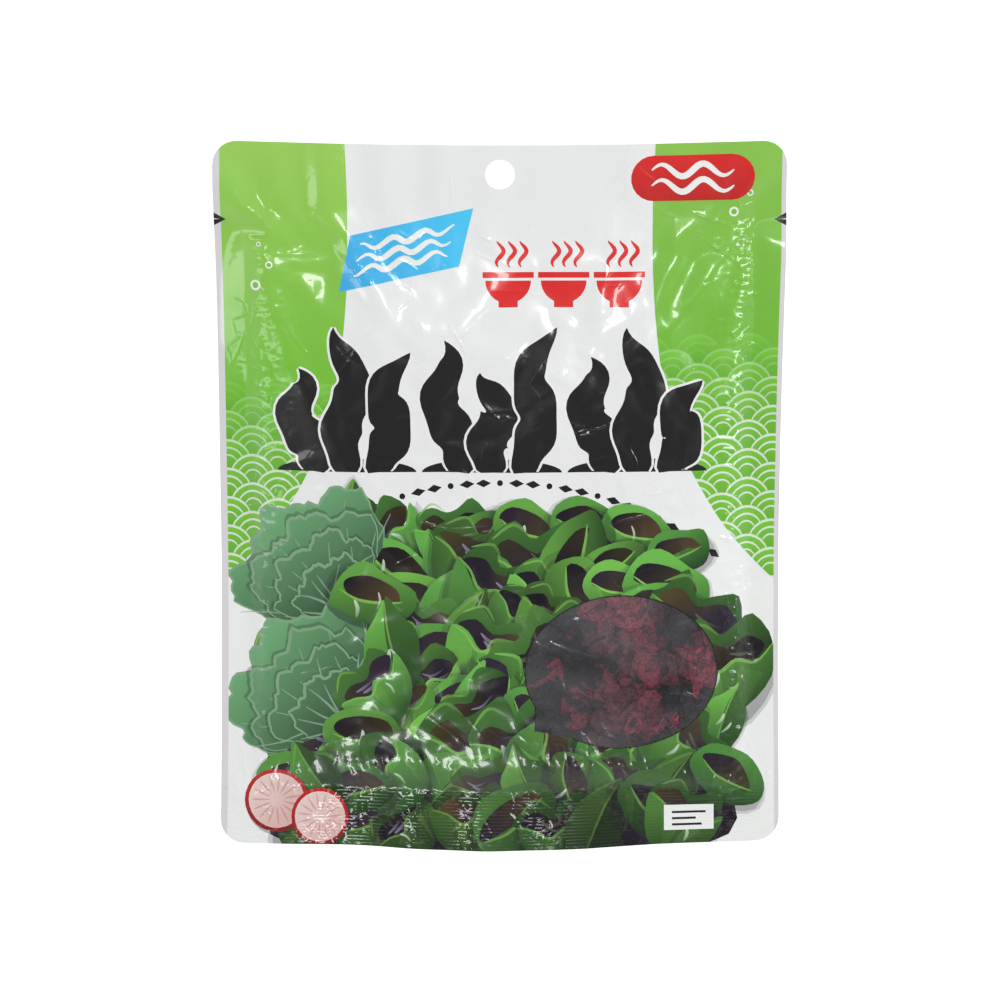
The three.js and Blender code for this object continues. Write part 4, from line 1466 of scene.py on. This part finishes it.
@functools.cache
def film_crinkle():
    """Thin straight crinkles and a faint orange peel, as film has after handling."""
    tree, given, result = group_tree("film_crinkle", {"Scale": CRINKLE_SCALE}, ["Height", "Haze"])
    place = put(tree, "ShaderNodeTexCoord").outputs["Object"]
    bend = scaled(tree, noise(tree, place, 90.0, 1.0)["Color"], 0.004)
    bent = put(tree, "ShaderNodeVectorMath", {0: place, 1: bend}, operation="ADD").outputs[0]
    cracks = {"Vector": bent, "Scale": given.outputs["Scale"]}
    cells = put(tree, "ShaderNodeTexVoronoi", cracks, feature="DISTANCE_TO_EDGE")
    ridge = ranged(tree, cells.outputs["Distance"], 0.0, 0.09, 1.0, 0.0)
    haze = noise(tree, place, 42.0, 2.0)["Fac"]
    lines = maths(tree, "MULTIPLY", ridge, ranged(tree, haze, 0.56, 0.66))
    peel = maths(tree, "MULTIPLY", noise(tree, place, 420.0, 2.0)["Fac"], 0.05)
    tree.links.new(maths(tree, "ADD", lines, peel), result.inputs["Height"])
    tree.links.new(haze, result.inputs["Haze"])
    return tree


def new_material(name):
    material = bpy.data.materials.new(name)
    material.use_nodes = True
    tree = material.node_tree
    tree.nodes.clear()
    return material, tree


def film_bump(tree, strength):
    """The film's haze, and a normal that its crinkles bend."""
    crinkle = put(tree, "ShaderNodeGroup", node_tree=film_crinkle()).outputs
    relief = {"Height": crinkle["Height"], "Strength": strength, "Distance": 0.0002}
    return crinkle["Haze"], put(tree, "ShaderNodeBump", relief).outputs[0]


def printed_film_material(name, look):
    """Glossy laminate with the print under its clear outer layer."""
    material, tree = new_material(name)
    ink = put(tree, "ShaderNodeVertexColor", layer_name="print")
    place = put(tree, "ShaderNodeTexCoord").outputs["Object"]
    grain = maths(tree, "MULTIPLY_ADD", noise(tree, place, 1600.0, 1.0)["Fac"], 0.04, 0.98)
    cloud = maths(tree, "MULTIPLY_ADD", noise(tree, place, 30.0, 3.0)["Fac"], 0.1, -0.05)
    haze, normal = film_bump(tree, 0.35)
    lit(tree, {
        "Base Color": scaled(tree, ink.outputs["Color"], maths(tree, "ADD", grain, cloud)),
        "Roughness": ranged(tree, haze, 0.0, 1.0, look.roughness * 0.7, look.roughness * 1.4),
        "IOR": 1.5,
        "Coat Weight": 0.6,
        "Coat Roughness": 0.07,
        "Normal": normal,
        "Coat Normal": normal,
    })
    return material


def clear_film_material():
    """Clear glossy film, a little milky in patches."""
    material, tree = new_material("clear_film")
    haze, normal = film_bump(tree, 0.45)
    facing = put(tree, "ShaderNodeFresnel", {"IOR": 1.45, "Normal": normal}).outputs[0]
    milky = ranged(tree, haze, 0.46, 0.66, 0.0, 0.08)
    share = maths(tree, "ADD", facing, milky, use_clamp=True)
    gloss = {"Base Color": (0.86, 0.86, 0.9, 1), "Metallic": 0.6, "Roughness": 0.16, "Normal": normal}
    shine = put(tree, "ShaderNodeBsdfPrincipled", gloss)
    through = put(tree, "ShaderNodeBsdfTransparent", {"Color": (0.98, 0.98, 0.99, 1)})
    layers = {0: share, 1: through.outputs[0], 2: shine.outputs[0]}
    mixed = put(tree, "ShaderNodeMixShader", layers)
    put(tree, "ShaderNodeOutputMaterial", {"Surface": mixed.outputs[0]})
    return material


@functools.cache
def dried_leaf_grain():
    """Wrinkles and blotches of a dried seaweed flake."""
    outputs = ["Height", "Blotch", "Wrinkle"]
    tree, given, result = group_tree("dried_leaf_grain", {"Scale": LEAF_GRAIN_SCALE}, outputs)
    place = put(tree, "ShaderNodeTexCoord").outputs["Object"]
    # this noise gives the bump's height and the painted shade and light of dried_leaf_surface
    wrinkle = noise(tree, place, given.outputs["Scale"], 5.0, Distortion=1.2)["Fac"]
    ridge = maths(tree, "ABSOLUTE", maths(tree, "SUBTRACT", wrinkle, 0.5))
    blotch = noise(tree, place, 150.0, 3.0, Roughness=0.6)["Fac"]
    for label, value in zip(outputs, (ridge, blotch, wrinkle)):
        tree.links.new(value, result.inputs[label])
    return tree


def dried_leaf_surface(tree, grain, leaf):
    """Lights a dried leaf: its colour, darker and lighter with the wrinkle noise as painted shade and painted
    light, on a dull and crinkled surface.
    """
    # painted shade and light: the wrinkle noise takes the colour from 0.4 to 1.8 times itself
    shade = ranged(tree, grain["Wrinkle"], 0.36, 0.66, 0.4, 1.8)
    relief = {"Height": grain["Height"], "Strength": 0.9, "Distance": 0.0008}
    lit(tree, {
        "Base Color": scaled(tree, leaf, shade),
        "Roughness": ranged(tree, grain["Blotch"], 0.0, 1.0, 0.38, 0.7),
        "Normal": put(tree, "ShaderNodeBump", relief).outputs[0],
    })


def colour_mix(tree, share, first, second):
    colours = put(tree, "ShaderNodeMix", {0: share}, data_type="RGBA")
    colours.inputs[6].default_value = (*linear(first), 1.0)
    colours.inputs[7].default_value = (*linear(second), 1.0)
    return colours.outputs[2]


def dried_leaf_material(name, base, other, share):
    """Dry, crinkled leaf: mostly one colour, with blotches of another."""
    material, tree = new_material(name)
    grain = put(tree, "ShaderNodeGroup", node_tree=dried_leaf_grain()).outputs
    low = 0.62 - share
    blot = ranged(tree, grain["Blotch"], low, low + 0.08)
    dried_leaf_surface(tree, grain, colour_mix(tree, blot, base, other))
    return material


def heap_material(look):
    """Dried leaf whose colour follows each flake's own draw."""
    material, tree = new_material("heaped_leaf")
    grain = put(tree, "ShaderNodeGroup", node_tree=dried_leaf_grain()).outputs
    red = put(tree, "ShaderNodeAttribute", attribute_name="red").outputs["Fac"]
    draw = put(tree, "ShaderNodeAttribute", attribute_name="draw").outputs["Fac"]
    stain = maths(tree, "MULTIPLY", red, ranged(tree, grain["Blotch"], 0.4, 0.56, 0.45, 1.0))
    leaf = colour_mix(tree, stain, look.charcoal, look.maroon)
    dried_leaf_surface(tree, grain, scaled(tree, leaf, ranged(tree, draw, 0.0, 1.0, 0.5, 1.8)))
    return material


# The stage


def pale_floor():
    """A wide pale floor, a hair below the pouch."""
    square = np.array([(-1, -1, 0), (1, -1, 0), (1, 1, 0), (-1, 1, 0)]) * FLOOR_REACH
    mesh = bpy.data.meshes.new("floor")
    mesh.from_pydata(square - (0, 0, FLOOR_DROP), [], [(0, 1, 2, 3)])
    material, tree = new_material("pale_floor")
    place = put(tree, "ShaderNodeTexCoord").outputs["Object"]
    lit(tree, {
        "Base Color": (0.9, 0.9, 0.9, 1),
        "Roughness": ranged(tree, noise(tree, place, 60.0, 4.0)["Fac"], 0.0, 1.0, 0.75, 0.9),
        "Emission Color": (1, 1, 1, 1),
        "Emission Strength": 0.5,
    })
    return finished_object("floor", mesh, material)


def soft_lamp(name, place, width, power):
    """A soft box that faces the pouch. The one overhead leaves no glint on the film."""
    light = bpy.data.lights.new(name, "AREA")
    light.shape = "RECTANGLE"
    light.size, light.size_y = width, width * 1.6
    light.energy = power
    lamp = finished_object(name, light)
    lamp.location = place
    lamp.visible_glossy = name != "overhead"
    lamp.rotation_euler = Vector(place).to_track_quat("Z", "Y").to_euler()


def studio_world():
    """A white room, brighter round the horizon than overhead."""
    world = bpy.data.worlds.new("studio")
    world.use_nodes = True
    tree = world.node_tree
    way = put(tree, "ShaderNodeSeparateXYZ", {0: put(tree, "ShaderNodeTexCoord").outputs["Generated"]})
    glow = ranged(tree, way.outputs[2], 0.35, 0.95, 0.7, 0.13)
    tree.links.new(glow, tree.nodes["Background"].inputs["Strength"])
    tree.nodes["Background"].inputs["Color"].default_value = (1, 1, 1, 1)
    return world


def pouch_camera(look):
    """A long lens that looks down on the pouch, leaning a little to its header."""
    camera = finished_object("camera", bpy.data.cameras.new("camera"))
    camera.data.sensor_width = 36
    away = Vector((0, math.sin(look.camera_tilt), math.cos(look.camera_tilt)))
    camera.location = Vector((0, 0, 5 * MM)) + away * look.camera_distance
    camera.rotation_euler = (-look.camera_tilt, 0, 0)
    camera.data.lens = camera.data.sensor_width * look.camera_distance / FIELD_WIDTH
    return camera


# The operators that make the pieces


class WAKAME_OT_front_film(bpy.types.Operator):
    """Make the printed front film with its window opening, hang hole and notches"""

    bl_idname = "wakame.front_film"
    bl_label = "Front Film"

    def execute(self, context):
        sheet, films = pouch_films()
        look = context.scene.film_look
        film = film_object("printed_front", sheet, films, front_print(look, sheet), True, 1.0, look.paper)
        film.data.materials.append(printed_film_material("printed_film", look))
        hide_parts(FRONT_NODE)
        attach(film, "root")
        return {"FINISHED"}


class WAKAME_OT_back_film(bpy.types.Operator):
    """Make the back film that the pouch rests on"""

    bl_idname = "wakame.back_film"
    bl_label = "Back Film"

    def execute(self, context):
        sheet, films = pouch_films()
        look = context.scene.film_look
        film = film_object("plain_back", sheet, films, back_print(look, sheet), False, 1.5, look.paper)
        film.data.materials.append(printed_film_material("back_film", look))
        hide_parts(BACK_NODE)
        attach(film, "root")
        return {"FINISHED"}


class WAKAME_OT_window_film(bpy.types.Operator):
    """Make the clear film behind the window opening"""

    bl_idname = "wakame.window_film"
    bl_label = "Window Film"

    def execute(self, context):
        sheet, films = pouch_films()
        film = finished_object("clear_window", clear_film_mesh(sheet, films), clear_film_material())
        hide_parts(WINDOW_NODE)
        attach(film, "root")
        return {"FINISHED"}


class WAKAME_OT_loose_flakes(bpy.types.Operator):
    """Crumple the loose flakes that lie just under the window"""

    bl_idname = "wakame.loose_flakes"
    bl_label = "Loose Flakes"

    def execute(self, context):
        sheet, films = pouch_films()
        look = context.scene.wakame_look
        random = np.random.default_rng(look.seed)
        charcoal = dried_leaf_material("charcoal_leaf", look.charcoal, look.maroon, 0.0)
        maroon = dried_leaf_material("maroon_leaf", look.maroon, look.charcoal, 0.1)
        slots = {part["node"]: part["material_slot"] for part in frame["record"]["subparts"]}
        for name in LOOSE_NODES:
            mesh = refined(frame["nodes"][name].data, name + "_leaf")
            points = mesh_points(mesh) / MM
            x, y, _ = points.T
            ways = random.uniform(0, 2 * math.pi, (7, 2))
            waves = [np.sin(0.9 * (x * math.cos(a) + y * math.sin(a)) + b) for a, b in ways]
            points[:, 2] += 0.28 * sum(waves)
            points = settled(sheet, films, points)
            mesh.vertices.foreach_set("co", (points * MM).ravel())
            mesh.shade_smooth()
            red = slots[name] == "maroon_wakame"
            mesh.materials.clear()
            leaf = finished_object(name + "_leaf", mesh, maroon if red else charcoal)
            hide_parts(name)
            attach(leaf, "root")
        return {"FINISHED"}


class WAKAME_OT_heap(bpy.types.Operator):
    """Heap up the dried flakes between the films"""

    bl_idname = "wakame.heap"
    bl_label = "Wakame Heap"

    def execute(self, context):
        sheet, films = pouch_films()
        look = context.scene.wakame_look
        random = np.random.default_rng(look.seed + 1)
        layers = finished_object("scatter_layers", scatter_layers(sheet, films))
        mesh = scattered_flakes(context, layers, look, random)
        points = settled(sheet, films, mesh_points(mesh) / MM)
        mesh.vertices.foreach_set("co", (points * MM).ravel())
        draws = np.empty(len(mesh.vertices))
        mesh.attributes["draw"].data.foreach_get("value", draws)
        red = flake_redness(sheet, points, draws)
        mesh.attributes.new("red", "FLOAT", "POINT").data.foreach_set("value", red)
        mesh.shade_smooth()
        heap = finished_object("dried_wakame_heap", mesh)
        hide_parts(HEAP_NODE)
        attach(heap, "root")
        return {"FINISHED"}


class WAKAME_OT_stage(bpy.types.Operator):
    """Set the floor, the soft lamps and the camera"""

    bl_idname = "wakame.stage"
    bl_label = "Stage"

    def execute(self, context):
        scene = context.scene
        look = scene.stage_look
        pale_floor()
        for name, (place, width, share) in LAMPS.items():
            soft_lamp(name, place, width, look.lamp_power * share)
        scene.world = studio_world()
        scene.view_settings.view_transform = "Standard"
        scene.camera = pouch_camera(look)
        return {"FINISHED"}


class WAKAME_PT_panel(bpy.types.Panel):
    """Lists the pouch's sizes, looks and pieces in the 3D view's sidebar"""

    bl_idname = "WAKAME_PT_panel"
    bl_label = "Wakame Pouch"
    bl_space_type = "VIEW_3D"
    bl_region_type = "UI"
    bl_category = "Wakame Pouch"

    def draw(self, context):
        for name, group in GROUPS.items():
            box = self.layout.box()
            for key in group.__annotations__:
                box.prop(getattr(context.scene, name), key)
        for operator in OPERATORS:
            self.layout.operator(operator.bl_idname)


GROUPS = {"pouch_size": PouchSize, "film_look": FilmLook, "wakame_look": WakameLook, "stage_look": StageLook}
OPERATORS = (
    WAKAME_OT_stage,
    WAKAME_OT_front_film,
    WAKAME_OT_back_film,
    WAKAME_OT_window_film,
    WAKAME_OT_loose_flakes,
    WAKAME_OT_heap,
)


def register():
    for group in (*GROUPS.values(), *OPERATORS, WAKAME_PT_panel):
        bpy.utils.register_class(group)
    for name, group in GROUPS.items():
        setattr(bpy.types.Scene, name, bpy.props.PointerProperty(type=group))


def unregister():
    for name in GROUPS:
        delattr(bpy.types.Scene, name)
    for group in reversed((*GROUPS.values(), *OPERATORS, WAKAME_PT_panel)):
        bpy.utils.unregister_class(group)


def main():
    register()
    bpy.ops.wakame.stage()
    bpy.ops.wakame.front_film()
    bpy.ops.wakame.back_film()
    bpy.ops.wakame.window_film()
    bpy.ops.wakame.loose_flakes()
    bpy.ops.wakame.heap()


if __name__ == "__main__":
    main()
